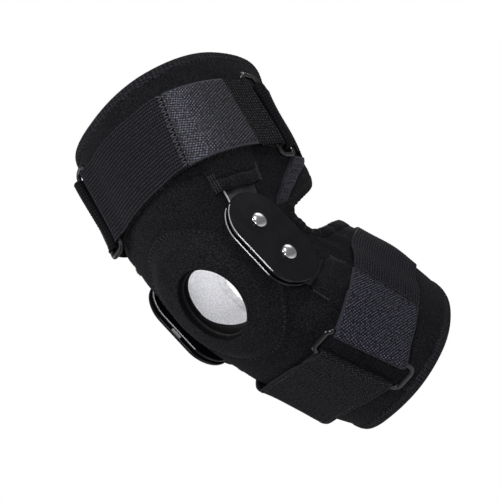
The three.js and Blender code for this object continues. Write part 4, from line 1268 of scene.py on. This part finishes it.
sew("pad_stitches", [padTicks()], 0.7, 0.5, "greyThread")
sew("hem_stitches", [openingTicks(), hemRow(topRimRows, 1), hemRow(bottomRimRows, -1)],
    0.6, 0.5, "darkThread")
sew("wrap_stitches", [wrapRow(v * wrapEdge["seam"]) for v in (-1, 1)], 0.7, 0.5, "darkThread")
shinStop = barsOf("lower_loop", calfRadius)[0] - calfTuck - calfEase
shinAngles = np.linspace(turns["lowerJoin"] + 2, shinStop, 120)
sew("shin_stitches", [
    stitchRow(throughRows(lowerCourse, 1, shinAngles) + across,
              shinAngles + throughRows(lowerCourse, 2, shinAngles) * across,
              resting + layers["webbing"] / 2 + overPocket(shinAngles), *seams["shin"], swings=False)
    for across in (-shinSeam, shinSeam)
], 0.7, 0.4, "greyThread")


# white studio: a low floor, a bright surround and soft boxes

knee = (0, 0, 0)
lights = [  # name, place in mm, size in mm, watts, aim
    ("key", (100, -800, 1200), 600, 9, knee),
    ("edges", (704, -839, 100), 260, 4, knee),
    ("side", (1150, 150, 650), 420, 4, knee),
    ("far", (-1100, -300, 400), 500, 3, knee),
    ("behind", (-500, 1100, 700), 700, 5, knee),
    ("domes", (460, 780, 430), 600, 1.45, knee),  # dim and broad, for the rivets to mirror
    ("inside", (20, 72, 62), 40, 0.075, (-25, 50, -5)),  # hangs in the sleeve and shows its lining
]
for name, place, size, watts, aim in lights:
    lamp = bpy.data.lights.new(name, "AREA")
    lamp.shape = "DISK"
    lamp.size = size * mm
    lamp.energy = watts
    made = bpy.data.objects.new(name, lamp)
    made.location = Vector(place) * mm
    made.rotation_euler = (Vector(aim) - Vector(place)).to_track_quat("-Z", "Y").to_euler()
    made.visible_camera = False
    bpy.context.scene.collection.objects.link(made)

# the surround shows white, and lights the brace as a dim room would
world = bpy.data.worlds.new("studio_white")
world.use_nodes = True
surround = world.node_tree
seen = addNode(surround, "ShaderNodeLightPath", out="Is Camera Ray")
level = addNode(surround, "ShaderNodeMapRange", {0: seen, 3: 0.2, 4: 1.0})
surround.nodes["Background"].inputs[0].default_value = linear("ffffff")
surround.links.new(level, surround.nodes["Background"].inputs[1])
bpy.context.scene.world = world

stage = dict(reach=2600, level=-720, sides=96)  # round, below the brace
edge = [(stage["reach"] * math.cos(t), stage["reach"] * math.sin(t), stage["level"])
        for t in np.linspace(0, 2 * np.pi, stage["sides"], endpoint=False)]
floor = makePiece("floor", edge, [range(stage["sides"])], "floor")
# white paper glows a little to the eye alone, so that it stays pale far from the lamps
paper = finishes["floor"].node_tree
paper.links.new(addNode(paper, "ShaderNodeLightPath", out="Is Camera Ray"),
                paper.nodes["Principled BSDF"].inputs["Emission Strength"])


# camera: turned with the brace, which lies slantwise in the picture

shot = dict(right=(0.52236791, 0.51154002, -0.68224524), up=(0.5627876, 0.3942621, 0.72651739),
            back=(0.64062616, -0.76346853, -0.08193851), awayMm=1150, asideMm=13.66, riseMm=23.16,
            lens=112.6)
right, up, back = (Vector(shot[key]) for key in ("right", "up", "back"))
camera = bpy.data.cameras.new("camera")
camera.lens = shot["lens"]
camera.sensor_width = 36
camera.clip_end = 20
eye = bpy.data.objects.new("camera", camera)
bpy.context.scene.collection.objects.link(eye)
place = (back * shot["awayMm"] + right * shot["asideMm"] + up * shot["riseMm"]) * mm
eye.matrix_world = Matrix.Translation(place) @ Matrix((right, up, back)).transposed().to_4x4()
bpy.context.scene.camera = eye
bpy.context.scene.view_settings.view_transform = "Standard"
